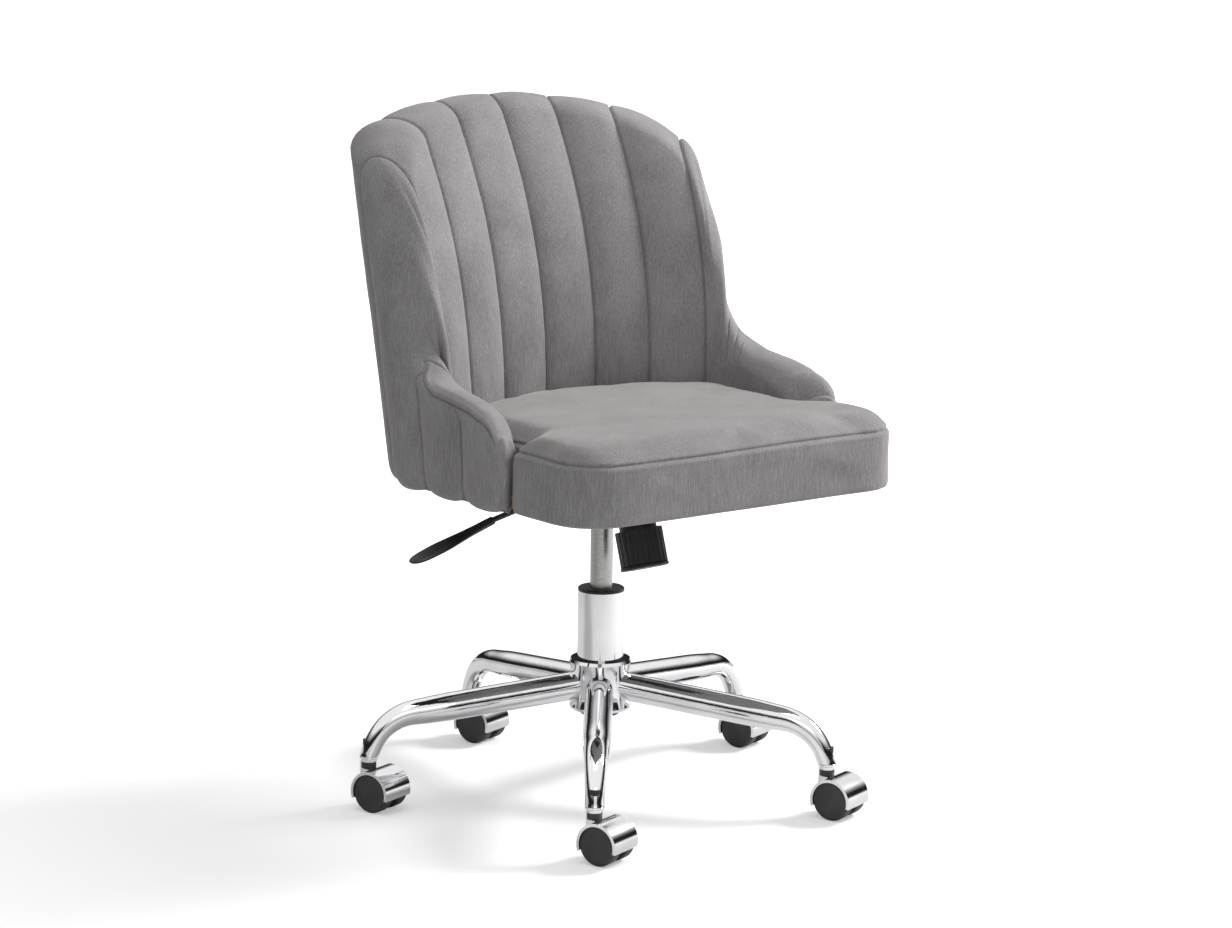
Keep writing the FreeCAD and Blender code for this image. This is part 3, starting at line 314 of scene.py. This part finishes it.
def fair_line(points, steps=400):
    """A natural cubic through the points, as two arrays."""
    p = np.array(points, float)
    t = np.concatenate([[0.0], np.cumsum(np.hypot(*np.diff(p, axis=0).T))])
    n, h = len(p), np.diff(t)
    a, b = np.eye(n), np.zeros((n, 2))
    for i in range(1, n - 1):
        a[i, i - 1:i + 2] = h[i - 1], 2 * (h[i - 1] + h[i]), h[i]
        b[i] = 6 * ((p[i + 1] - p[i]) / h[i] - (p[i] - p[i - 1]) / h[i - 1])
    m = np.linalg.solve(a, b)
    at = np.linspace(0, t[-1], steps)
    i = np.clip(np.searchsorted(t, at) - 1, 0, n - 2)
    u, v, w = (t[i + 1] - at)[:, None], (at - t[i])[:, None], h[i][:, None]
    line = (m[i] * u ** 3 + m[i + 1] * v ** 3) / (6 * w) + (p[i] / w - m[i] * w / 6) * u \
        + (p[i + 1] / w - m[i + 1] * w / 6) * v
    return line[:, 0], line[:, 1]


def ridge_height(seam, end=ARM_FRONT):
    """Height of the top edge at each place round the bucket."""
    line_y, line_z = fair_line(RIDGE)
    cx = ARCH_HALF - ARCH_SHOULDER
    cz = ARCH_TOP - ARCH_CROWN + math.sqrt((ARCH_CROWN - ARCH_SHOULDER) ** 2 - cx ** 2)
    turn = math.atan2(cx, cz - (ARCH_TOP - ARCH_CROWN))

    def limit(z):
        xi, yi = inner_point(seam, z, end + ARM_BEVEL)[:2]
        xo, yo = outer_point(seam, z, end)[:2]
        x, y = (xi + xo) / 2, (yi + yo) / 2
        side = np.interp(y, line_y, line_z)
        side = np.where(y < ARM_ROUND_Y, ARM_ROUND_Z + np.sqrt(np.maximum(
            ARM_ROUND_R ** 2 - (y - ARM_ROUND_Y) ** 2, 0.0)), side)
        side = np.where(y > line_y[-1], 2000.0, side)
        crown = ARCH_TOP - ARCH_CROWN + np.sqrt(ARCH_CROWN ** 2 - np.minimum(x, ARCH_CROWN * math.sin(turn)) ** 2)
        shoulder = cz + np.sqrt(np.maximum(ARCH_SHOULDER ** 2 - np.maximum(x - cx, 0.0) ** 2, 0.0))
        arch = np.where(x < ARCH_CROWN * math.sin(turn), crown, shoulder)
        meet = np.clip(0.5 + (arch - side) / (2 * ARCH_BLEND), 0.0, 1.0)
        return arch * (1 - meet) + side * meet - ARCH_BLEND * meet * (1 - meet)
    low, high = np.full_like(seam, 440.0), np.full_like(seam, 900.0)
    for _ in range(40):
        mid = (low + high) / 2
        under = mid < limit(mid)
        low, high = np.where(under, mid, low), np.where(under, high, mid)
    return low


def seam_places():
    """Places round the bucket, close together at each seam."""
    one = [0, 0.008, 0.02, 0.04, 0.07, 0.12, 0.19, 0.28, 0.39, 0.5]
    one = one + [1 - u for u in one[-2:0:-1]]
    places = [k + u for k in (0, 1, 2, 4) for u in one]
    places += list(np.arange(3.0, 4.0, 0.0175))
    last = FRONT_SEAM - 5
    places += [5 + u * 1.0 for u in one if u < last - 0.03]
    front = FRONT_SEAM - 0.41
    places = [p for p in places if p < front] + list(front + 0.41 * np.sin(np.linspace(0, math.pi / 2, 15)))
    places += list(np.arange(4.0, 4.7, 0.03))
    half = np.array(sorted(set(round(float(p), 3) for p in places)))
    return np.concatenate([-half[:0:-1], half])


def smooth_step(value, low, high):
    t = np.clip((value - low) / (high - low), 0.0, 1.0)
    return t * t * (3 - 2 * t)


def channel(seam):
    """Fullness of a channel, 0 at its seams and 1 along its middle."""
    u = np.abs(seam - np.floor(seam) - 0.5) * 2
    return 1 - u ** 2.6


def stitched(distance, width=1.35):
    return np.exp(-(distance / width) ** 2)


CAP = 9.0        # rounding of the arm's front end
ROWS_FACE, ROWS_RIM, ROWS_TUCK = 58, 22, 8


def back_surface():
    """The closed skin of the back: up the inner face, over the rim and down the outer face, as a grid of points."""
    seam = seam_places()
    s = np.abs(seam)
    side = np.sign(seam)
    end = ARM_FRONT + CAP
    top = ridge_height(seam, end)
    arm = smooth_step(s, 3.5, 4.3)
    wing = smooth_step(s, 2.7, 3.15) * (1 - arm)
    # a steep top edge needs a taller rounding in height for the same roll across it
    place = np.stack(outer_point(seam, 600.0, end)[:2], 1)
    slope = np.abs(np.gradient(top) / np.maximum(np.linalg.norm(np.gradient(place, axis=0), axis=1), 1e-6))
    slope = np.convolve(np.pad(slope, 4, "edge"), np.ones(9) / 9, "valid")
    steep = np.sqrt(1 + np.minimum(slope, STEEPEST) ** 2)
    rise_in, rise_out = [np.minimum(steep * (back + (on_wing - back) * wing + (on_arm - back) * arm),
                                    (top - PAD_LOW) * 0.6) for back, on_wing, on_arm in (ROLL_IN, ROLL_OUT)]
    crest = 0.50 + 0.22 * arm
    rows, zone, rim = [], [], []

    def put(z, share, out_inset=0.0, kind="in", on_rim=0.0):
        xi, yi = inner_point(seam, z, end + ARM_BEVEL)[:2]
        xo, yo, nx, ny = outer_point(seam, z, end)
        xo, yo = xo - nx * out_inset, yo - ny * out_inset
        rows.append(np.stack([side * (xi * (1 - share) + xo * share), yi * (1 - share) + yo * share,
                              z + np.zeros_like(seam)], 1))
        zone.append(kind)
        rim.append(on_rim)
    for k in range(ROWS_FACE):
        t = k / ROWS_FACE
        put(PAD_LOW + (top - rise_in - PAD_LOW) * t, 0.0)
    for k in range(2 * ROWS_RIM + 1):
        a = math.pi * k / (2 * ROWS_RIM)
        if k <= ROWS_RIM:
            put(top - rise_in * (1 - math.sin(a)), crest * (1 - math.cos(a)), 0.0, "rim",
                k / ROWS_RIM / 2)
        else:
            put(top - rise_out * (1 - math.sin(a)), crest - (1 - crest) * math.cos(a), 0.0, "rim",
                k / ROWS_RIM / 2)
    start = top - rise_out
    for k in range(1, ROWS_FACE + 1):
        t = (k / ROWS_FACE) ** 1.25
        put(start + (PAD_LOW - start) * t, 1.0, 0.0, "out", 1.0)
    for k in range(1, ROWS_TUCK + 1):
        a = math.pi / 2 * k / ROWS_TUCK
        put(PAD_LOW - (PAD_LOW - COVER_LOW) * math.sin(a) + np.zeros_like(seam), 1.0,
            TUCK * (1 - math.cos(a)), "out", 1.0)
    put(COVER_LOW + 2.0 + np.zeros_like(seam), 1.0, TUCK + 4.0, "hem", 1.0)
    put(412.0 + np.zeros_like(seam), 1.0, TUCK + 5.0, "hem", 1.0)
    return seam, np.array(rows), zone, np.array(rim)


def grid_normals(grid):
    """Outward directions of a grid of points."""
    along = np.gradient(grid, axis=1)
    across = np.gradient(grid, axis=0)
    n = np.cross(along, across)
    return n / np.maximum(np.linalg.norm(n, axis=2, keepdims=True), 1e-9)


def welt_place(s):
    """Where the arm's welt lies over the rim: 0 at its inner edge, 1 at its outer edge."""
    return 0.5 + 0.5 * smooth_step(s, ARM_SEAM, 4.55)


def puffed(seam, grid, zone, rim):
    """Channels, seams and soft unevenness, laid on the skin along its normals."""
    normal = grid_normals(grid)
    s = np.abs(seam)[None, :]
    kind = np.array(zone)[:, None]
    is_rim, hem = kind == "rim", kind == "hem"
    over = rim[:, None]
    step = np.linalg.norm(np.diff(grid, axis=0), axis=2)
    run = np.concatenate([np.zeros((1, len(seam))), np.cumsum(step, axis=0)])
    rim_rows = np.nonzero(is_rim[:, 0])[0]
    welt_at = np.array([np.interp(welt_place(abs(q)), rim[rim_rows], run[rim_rows, i]) for i, q in enumerate(seam)])
    plan = np.linalg.norm(np.gradient(grid[rim_rows[-1]], axis=0), axis=1)
    slant = np.gradient(welt_at) / np.maximum(plan, 1e-6)
    to_welt = (run - welt_at) / np.sqrt(1 + np.minimum(slant ** 2, 4.0))
    on_arm = smooth_step(s, ARM_SEAM - 0.02, ARM_SEAM + 0.02) * (1 - smooth_step(s, 5.86, 5.92))
    tufted = s <= INNER_SEAMS
    full = channel(s)
    # the wings and arms are plain inside, and their outer channels start at the welt
    plain = 1 - np.exp(-np.maximum(s - INNER_SEAMS, 0.0) * OUT_PITCH / 14.0)
    lift_in = np.where(tufted, PUFF_IN * full, PLAIN_IN * plain)
    lift_out = PUFF_OUT * (full - 1.0) * np.where(tufted, 1.0, smooth_step(to_welt, 1.0, 26.0)) + PROUD_OUT
    lift_top = np.where(tufted, PUFF_TOP * (full - 0.5), PLAIN_IN * plain * 0.6)
    inward = 1 - smooth_step(over, 0.0, 0.42)
    outward = smooth_step(over, 0.6, 1.0)
    lift = lift_in * inward + lift_out * outward + lift_top * (1 - inward) * (1 - outward)
    pitch = IN_PITCH[0] + (OUT_PITCH - IN_PITCH[0]) * over
    nearest = np.abs(s - np.round(s)) * pitch
    sewn = (s < INNER_SEAMS + 0.3) | ((to_welt > 0) & (s > ARM_SEAM) & (s < FRONT_SEAM - 0.3))
    outer_only = (s > INNER_SEAMS + 0.3)
    groove = stitched(nearest) * sewn * np.where(outer_only, smooth_step(to_welt, 0.0, 2.0), 1.0)
    welt = stitched(to_welt, 1.6) * on_arm
    lip = stitched(to_welt + 4.6, 2.6) * on_arm
    cut = stitched((s - ARM_SEAM) * 80.0, 1.7) * smooth_step(over, 0.02, 0.12) * (1 - smooth_step(over, 0.48, 0.54))
    lift = lift - GROOVE * groove - 2.6 * welt + 1.6 * lip - 2.0 * cut
    soft, small = [np.array([[noise.noise(Vector((p[0] / wide, p[1] / wide, p[2] / high + shift)))
                              for p in row] for row in grid]) for wide, high, shift in ((70, 95, 0), (24, 40, 9))]
    lift = lift + 1.3 * soft + 0.4 * small
    return grid + normal * np.where(hem, 0.0, lift)[..., None]


def closed_back(grid):
    """Points and faces of the skin: its ring closed below, and each arm's front rounded over and closed."""
    rows = grid.shape[0]
    columns = [grid[:, i] for i in range(grid.shape[1])]

    def rounded(ring):
        """Rings that close in from an arm's front end."""
        flat = ring[:, [0, 2]]
        tangent = np.roll(flat, -1, 0) - np.roll(flat, 1, 0)
        inward = np.stack([tangent[:, 1], -tangent[:, 0]], 1)
        inward /= np.maximum(np.linalg.norm(inward, axis=1, keepdims=True), 1e-9)
        centre = flat.mean(0)
        inward *= np.where(((centre - flat) * inward).sum(1).mean() > 0, 1.0, -1.0)
        made = []
        for k in range(1, 7):
            a = math.pi / 2 * k / 6
            moved = ring.copy()
            moved[:, [0, 2]] += inward * (CAP * (1 - math.cos(a)) * 0.9 * smooth_step(ring[:, 2], 430, 475))[:, None]
            moved[:, 1] -= CAP * math.sin(a)
            made.append(moved)
        return made
    columns = rounded(columns[0])[::-1] + columns + rounded(columns[-1])
    points = np.concatenate(columns)
    faces = []
    for c in range(len(columns) - 1):
        for r in range(rows):
            n = (r + 1) % rows
            faces.append((c * rows + r, c * rows + n, (c + 1) * rows + n, (c + 1) * rows + r))
    for c, flip in ((0, False), (len(columns) - 1, True)):
        for r in range(rows // 2 - 1 + rows % 2):
            a, b, d, e = r, r + 1, rows - 2 - r, rows - 1 - r
            if b == d:
                face = (c * rows + a, c * rows + e, c * rows + b)
            else:
                face = (c * rows + a, c * rows + e, c * rows + d, c * rows + b)
            faces.append(face[::-1] if flip else face)
    return points, faces


def make_back(fabric):
    grid = puffed(*back_surface())
    points, faces = closed_back(grid)
    piece = mesh_piece("channelled_back", points, faces, "seat", fabric)
    face_outwards(piece)
    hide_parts("back_inner_pad", "back_outer_cover", "back_shell")
    return piece


def face_outwards(piece):
    form = bmesh.new()
    form.from_mesh(piece.data)
    bmesh.ops.recalc_face_normals(form, faces=form.faces)
    form.to_mesh(piece.data)
    form.free()


# ---------------------------------------------------------------- the seat cushion

SEAT_HALF, SEAT_FRONT, SEAT_CORNER = 253.0, -290.0, 63.0
SEAT_SPLIT, NOTCH_R = -145.8, 5.0     # the arms begin behind this line; the cushion's corners there
SEAT_LOW, SEAT_SEAM = 407.5, 480.0
SEAT_LAYERS = ((SEAT_LOW, 4.0), (410.5, 1.5), (416.0, 0.5), (470.0, 0.5), (480.0, 3.0), (489.0, 9.5), (494.5, 20.0),
               (496.0, 34.0))
SWELL_TOP, SWELL_SIDE = 6.5, 4.0      # how far the filling may push the cover out


def corner_points(cx, cy, radius, first, last, steps=10):
    return [(cx + radius * math.cos(math.radians(first + (last - first) * k / steps)),
             cy + radius * math.sin(math.radians(first + (last - first) * k / steps))) for k in range(steps + 1)]


def seat_outline(inset):
    """Plan of the seat: wide in front of the arms and narrower between them."""
    gap = 0.8 + inset
    half = IN_HALF[0] - gap
    long_way = length_to(SEAT_SPLIT, half, IN_REAR[0] - gap, IN_CORNER - gap, IN_REAR_R[0] - gap)
    lengths = np.linspace(0, long_way, 40)
    x, y = outline(lengths, half, IN_REAR[0] - gap, IN_CORNER - gap, IN_REAR_R[0] - gap)[:2]
    bevel_from = SEAT_SPLIT + ARM_BEVEL - 4 - inset
    right = [(px, py) for px, py in zip(x, y) if py > bevel_from + 6]
    wide = SEAT_HALF - inset
    right += [(half, bevel_from + 4), (half + 3, bevel_from - 1), (wide - 14, SEAT_SPLIT - inset + 6)]
    right += corner_points(wide - NOTCH_R, SEAT_SPLIT - inset - NOTCH_R, NOTCH_R, 90, 0, 5)
    turn = SEAT_CORNER - inset
    right += corner_points(wide - turn, SEAT_FRONT + inset + turn, turn, 0, -90)
    return right + [(-px, py) for px, py in right[:0:-1]]


def filled_cover(piece):
    """The cover as its filling presses it out: cloth under pressure, with the swelling kept within bounds."""
    before = np.array([v.co[:] for v in piece.data.vertices])
    normals = np.array([v.normal[:] for v in piece.data.vertices])
    cloth = piece.modifiers.new("filling", "CLOTH")
    settings = cloth.settings
    settings.use_pressure = True
    settings.uniform_pressure_force = 4.0
    settings.effector_weights.gravity = 0.0
    settings.mass = 0.3
    settings.tension_stiffness = 15.0
    settings.compression_stiffness = 15.0
    scene = bpy.context.scene
    scene.frame_start, scene.frame_end = 1, 20
    cloth.point_cache.frame_start, cloth.point_cache.frame_end = 1, 20
    for number in range(1, 21):
        scene.frame_set(number)
    shape = piece.evaluated_get(bpy.context.evaluated_depsgraph_get()).data
    after = np.array([v.co[:] for v in shape.vertices])
    piece.modifiers.remove(cloth)
    scene.frame_set(1)
    move = after - before
    size = np.linalg.norm(move, axis=1)
    most = np.where(normals[:, 2] > 0.5, SWELL_TOP, np.where(normals[:, 2] < -0.5, 0.0, SWELL_SIDE)) * MM
    held = np.minimum(size, most) / np.maximum(size, 1e-9)
    return before + move * held[:, None]


def make_seat(fabric):
    rings = [[(x, y, z) for x, y in seat_outline(inset)] for z, inset in SEAT_LAYERS]
    count = len(rings[0])
    points = [p for ring in rings for p in ring]
    faces = [(r * count + k, r * count + (k + 1) % count, (r + 1) * count + (k + 1) % count, (r + 1) * count + k)
             for r in range(len(rings) - 1) for k in range(count)]
    faces += [tuple(range(count))[::-1], tuple(range((len(rings) - 1) * count, len(rings) * count))]
    piece = mesh_piece("seat_cover", points, faces, "seat", fabric)
    face_outwards(piece)
    remesh = piece.modifiers.new("even_mesh", "REMESH")
    remesh.mode, remesh.voxel_size = "VOXEL", 5.0 * MM
    even = bpy.data.meshes.new_from_object(piece.evaluated_get(bpy.context.evaluated_depsgraph_get()))
    piece.modifiers.remove(remesh)
    piece.data = even
    moved = filled_cover(piece)
    for vertex, place in zip(piece.data.vertices, moved):
        vertex.co = place
    relaxed(piece, 3)
    piece.data.update()
    divide = piece.modifiers.new("fine_mesh", "SUBSURF")
    divide.levels = divide.render_levels = 1
    fine = bpy.data.meshes.new_from_object(piece.evaluated_get(bpy.context.evaluated_depsgraph_get()))
    piece.modifiers.remove(divide)
    piece.data = fine
    border_seam(piece)
    piece.data.shade_smooth()
    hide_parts("seat_cushion")
    return piece


def relaxed(piece, times):
    """Smooths the voxel steps out of a remeshed cover."""
    form = bmesh.new()
    form.from_mesh(piece.data)
    for _ in range(times):
        bmesh.ops.smooth_vert(form, verts=form.verts, factor=0.5, use_axis_x=True, use_axis_y=True, use_axis_z=True)
    form.to_mesh(piece.data)
    form.free()


def seam_level(x, y):
    """Height of the border seam: it wanders a little, as sewn."""
    return (SEAT_SEAM + 0.8 * math.sin(x / 61.0) + 0.6 * math.sin(y / 37.0)) * MM


def border_seam(piece):
    """A stitched groove round the side of the seat, on edge loops of its own."""
    form = bmesh.new()
    form.from_mesh(piece.data)
    for v in form.verts:
        v.co.z -= seam_level(v.co.x / MM, v.co.y / MM)
    for level in (-4.5, -1.8, 0.0, 1.8, 4.5):
        bmesh.ops.bisect_plane(form, geom=form.verts[:] + form.edges[:] + form.faces[:],
                               plane_co=(0, 0, level * MM), plane_no=(0, 0, 1), dist=0.02 * MM)
    form.normal_update()
    for v in form.verts:
        away = abs(v.co.z) / MM
        flat = Vector((v.normal.x, v.normal.y, 0.0))
        if away < 9.0 and flat.length > 0.3:
            depth = -2.3 * math.exp(-(away / 1.6) ** 2) + 0.9 * math.exp(-((away - 4.5) / 2.5) ** 2)
            v.co += flat.normalized() * depth * MM
    for v in form.verts:
        v.co.z += seam_level(v.co.x / MM, v.co.y / MM)
        p = v.co / MM
        top = max(0.0, min(1.0, (p.z - 470) / 20))
        v.co += v.normal * (1.2 * noise.noise(Vector((p.x / 80, p.y / 55, p.z / 60))) * (0.4 + 0.6 * top)) * MM
    form.to_mesh(piece.data)
    form.free()


# ---------------------------------------------------------------- small hardware

def turned(profile, steps, axis_from, axis_to):
    """Points and faces of a profile of (radius, height) turned about an axis, closed at both ends."""
    a, b = Vector(axis_from), Vector(axis_to)
    up = (b - a).normalized()
    side = up.orthogonal().normalized()
    other = up.cross(side)
    points = []
    for radius, height in profile:
        for k in range(steps):
            t = 2 * math.pi * k / steps
            points.append(a + up * height + side * radius * math.cos(t) + other * radius * math.sin(t))
    rings = len(profile)
    faces = [(r * steps + k, r * steps + (k + 1) % steps, (r + 1) * steps + (k + 1) % steps, (r + 1) * steps + k)
             for r in range(rings - 1) for k in range(steps)]
    faces += [tuple(range(steps))[::-1], tuple(range((rings - 1) * steps, rings * steps))]
    return points, faces


BOLT_AT = (27.0, 12.0)                # a bolt on either side of the column
BOLT_TOP, BOLT_END = 352.0, 340.0
BOLT_TIP = ((7.5, 0.0), (7.5, 1.4), (6.2, 1.6), (6.2, 5.2), (5.6, 5.8), (3.9, 5.8), (3.9, 8.0), (3.1, 8.8))


def make_bolt_tips(finish):
    """Ends of the mechanism's fixing bolts, below its floor on either side of the column."""
    for number, side in enumerate((-1, 1), 1):
        x, y = side * BOLT_AT[0], BOLT_AT[1]
        points, faces = turned(BOLT_TIP, 28, (x, y, BOLT_TOP), (x, y, BOLT_END))
        piece = mesh_piece("housing_bolt_%d" % number, points, faces, "lift", finish)
        face_outwards(piece)


CORE_R, CORE_HALF, CORE_BEVEL = 26.5, 5.7, 1.0     # web of a caster's core: radius, half width, edge
CORE_PULL = 0.94                      # how far its faces draw in at the edge
CORE_FROM, CORE_TO = 109.2, 197.5     # the arc of the web that shows, degrees
CORE_INSIDE = ((4.0, 19.0), (9.2, 42.0))     # corners hidden within the hood
CASTER_TRAIL, CASTER_AXLE_Z, CASTER_HEADING = 18.0, 25.0, 19.0
STEM_CIRCLE, FIRST_LEG, LEG_TURN = 296, -38.6, 72
BOSS_LOW, BOSS = 49.4, ((8.2, 0), (9.2, 1.0), (9.2, 8.8), (8.4, 9.6))


def make_caster_cores(finish):
    """Nylon cores of the casters, seen in the slot of each hood round the stem."""
    bend = [math.radians(CORE_FROM + (CORE_TO - CORE_FROM) * k / 16) for k in range(17)]
    web = [(CASTER_TRAIL + CORE_R * math.cos(t), CASTER_AXLE_Z + CORE_R * math.sin(t)) for t in bend]
    web += CORE_INSIDE
    turn = Matrix.Rotation(math.radians(CASTER_HEADING - 90), 4, "Z")
    count = len(web)
    middle_x, middle_z = sum(x for x, _ in web) / count, sum(z for _, z in web) / count
    for number in range(1, 6):
        lead = math.radians(LEG_TURN * (number - 1) + FIRST_LEG)
        spot = Vector((STEM_CIRCLE * math.sin(lead), -STEM_CIRCLE * math.cos(lead), 0))
        points = []
        for y, pull in ((-CORE_HALF, CORE_PULL), (CORE_BEVEL - CORE_HALF, 1.0),
                        (CORE_HALF - CORE_BEVEL, 1.0), (CORE_HALF, CORE_PULL)):
            points += [spot + turn @ Vector((middle_x + (x - middle_x) * pull, y,
                                             middle_z + (z - middle_z) * pull)) for x, z in web]
        faces = [(r * count + k, r * count + (k + 1) % count, (r + 1) * count + (k + 1) % count,
                  (r + 1) * count + k) for r in range(3) for k in range(count)]
        faces += [tuple(range(count))[::-1], tuple(range(3 * count, 4 * count))]
        boss, boss_faces = turned(BOSS, 36, spot + Vector((0, 0, BOSS_LOW)), spot + Vector((0, 0, 60)))
        faces += [tuple(k + len(points) for k in face) for face in boss_faces]
        piece = mesh_piece("caster_core_%d" % number, points + boss, faces,
                           "caster_%d" % number, finish)
        face_outwards(piece)
        piece.data.shade_flat()


# ---------------------------------------------------------------- studio

def studio():
    scene = bpy.context.scene
    material, tree = blank("studio_floor")
    seen = add(tree, "ShaderNodeLightPath")
    paper = add(tree, "ShaderNodeBsdfDiffuse", {"Color": linear("#ececec")})
    place = add(tree, "ShaderNodeTexCoord").outputs["Object"]
    away = add(tree, "ShaderNodeVectorMath", {0: place}, operation="LENGTH").outputs["Value"]
    haze = spread(tree, away, 0.5, 2.2, 0.36, 1.0)
    lift = add(tree, "ShaderNodeMath", {0: seen.outputs["Is Camera Ray"], 1: haze}, operation="MULTIPLY")
    glow = add(tree, "ShaderNodeEmission", {"Color": linear("#ffffff"), "Strength": lift.outputs["Value"]})
    bright = add(tree, "ShaderNodeAddShader", {0: paper.outputs["BSDF"], 1: glow.outputs["Emission"]})
    add(tree, "ShaderNodeOutputMaterial", {"Surface": bright.outputs["Shader"]})
    mesh = bpy.data.meshes.new("studio_floor")
    reach = 60.0
    mesh.from_pydata([(-reach, -reach, 0), (reach, -reach, 0), (reach, reach, 0), (-reach, reach, 0)], [],
                     [(0, 1, 2, 3)])
    mesh.materials.append(material)
    floor = bpy.data.objects.new("studio_floor", mesh)
    scene.collection.objects.link(floor)
    world = bpy.data.worlds.new("studio_world")
    world.use_nodes = True
    tree = world.node_tree
    tree.nodes.clear()
    path = add(tree, "ShaderNodeLightPath")
    way = add(tree, "ShaderNodeTexCoord").outputs["Generated"]
    height = add(tree, "ShaderNodeSeparateXYZ", {"Vector": way}).outputs["Z"]
    room = add(tree, "ShaderNodeValToRGB", {"Fac": height})
    ramp = room.color_ramp
    ramp.elements[0].position, ramp.elements[0].color = 0.0, linear("#f4f4f4")
    ramp.elements[1].position, ramp.elements[1].color = 1.0, linear("#ffffff")
    for position, colour in ((0.03, "#d0d0d0"), (0.07, "#2a2a2b"), (0.24, "#1b1b1c"), (0.34, "#8c8c8d"),
                             (0.46, "#fbfbfb")):
        stop = ramp.elements.new(position)
        stop.color = linear(colour)
    soft = add(tree, "ShaderNodeBackground", {"Color": linear("#f8f8f8"), "Strength": 0.36})
    white = add(tree, "ShaderNodeBackground", {"Color": linear("#ffffff"), "Strength": 1.0})
    mirrored = add(tree, "ShaderNodeBackground", {"Color": room.outputs["Color"], "Strength": 1.0})
    first = add(tree, "ShaderNodeMixShader", {0: path.outputs["Is Glossy Ray"], 1: soft.outputs["Background"],
                                              2: mirrored.outputs["Background"]})
    second = add(tree, "ShaderNodeMixShader", {0: path.outputs["Is Camera Ray"], 1: first.outputs["Shader"],
                                               2: white.outputs["Background"]})
    add(tree, "ShaderNodeOutputWorld", {"Surface": second.outputs["Shader"]})
    scene.world = world
    lamp("key_light", (2.8, -0.8, 2.2), 0.9, 118.0)
    lamp("front_fill", (-1.6, -2.6, 1.3), 1.8, 7.0)
    lamp("top_light", (-0.3, -0.5, 2.9), 1.6, 21.0)
    scene.view_settings.view_transform = "Standard"


def lamp(name, place, size, watts):
    data = bpy.data.lights.new(name, "AREA")
    data.shape, data.size, data.energy = "SQUARE", size, watts
    light = bpy.data.objects.new(name, data)
    aim = Vector((0, 0, 0.5)) - Vector(place)
    light.location = place
    light.rotation_euler = aim.to_track_quat("-Z", "Y").to_euler()
    bpy.context.scene.collection.objects.link(light)


def camera():
    """Camera at the chair's front left, a little above the seat."""
    rise, turn, roll = math.radians(10.83), math.radians(-38.0), math.radians(0.80)
    back = Vector((math.sin(turn) * math.cos(rise), -math.cos(turn) * math.cos(rise), math.sin(rise)))
    right = Vector((math.cos(turn), math.sin(turn), 0.0))
    up = right.cross(-back)
    across = right * math.cos(roll) + up * math.sin(roll)
    upright = up * math.cos(roll) - right * math.sin(roll)
    place = right * 0.0162 + Vector((0, 0, 0.4173)) + back * 4.445
    data = bpy.data.cameras.new("camera")
    data.lens, data.sensor_width, data.sensor_fit = 3600.0 / 1232.0 * 36.0, 36.0, "HORIZONTAL"
    data.clip_start, data.clip_end = 0.1, 60.0
    eye = bpy.data.objects.new("camera", data)
    eye.matrix_world = Matrix(((across.x, upright.x, back.x, place.x), (across.y, upright.y, back.y, place.y),
                               (across.z, upright.z, back.z, place.z), (0, 0, 0, 1)))
    bpy.context.scene.collection.objects.link(eye)
    bpy.context.scene.camera = eye


camera()
studio()
finishes = paint_frame()
make_back(finishes["seat_fabric"])
make_seat(finishes["seat_fabric"])
make_bolt_tips(finishes["zinc_plate"])
make_caster_cores(finishes["black_wheel"])
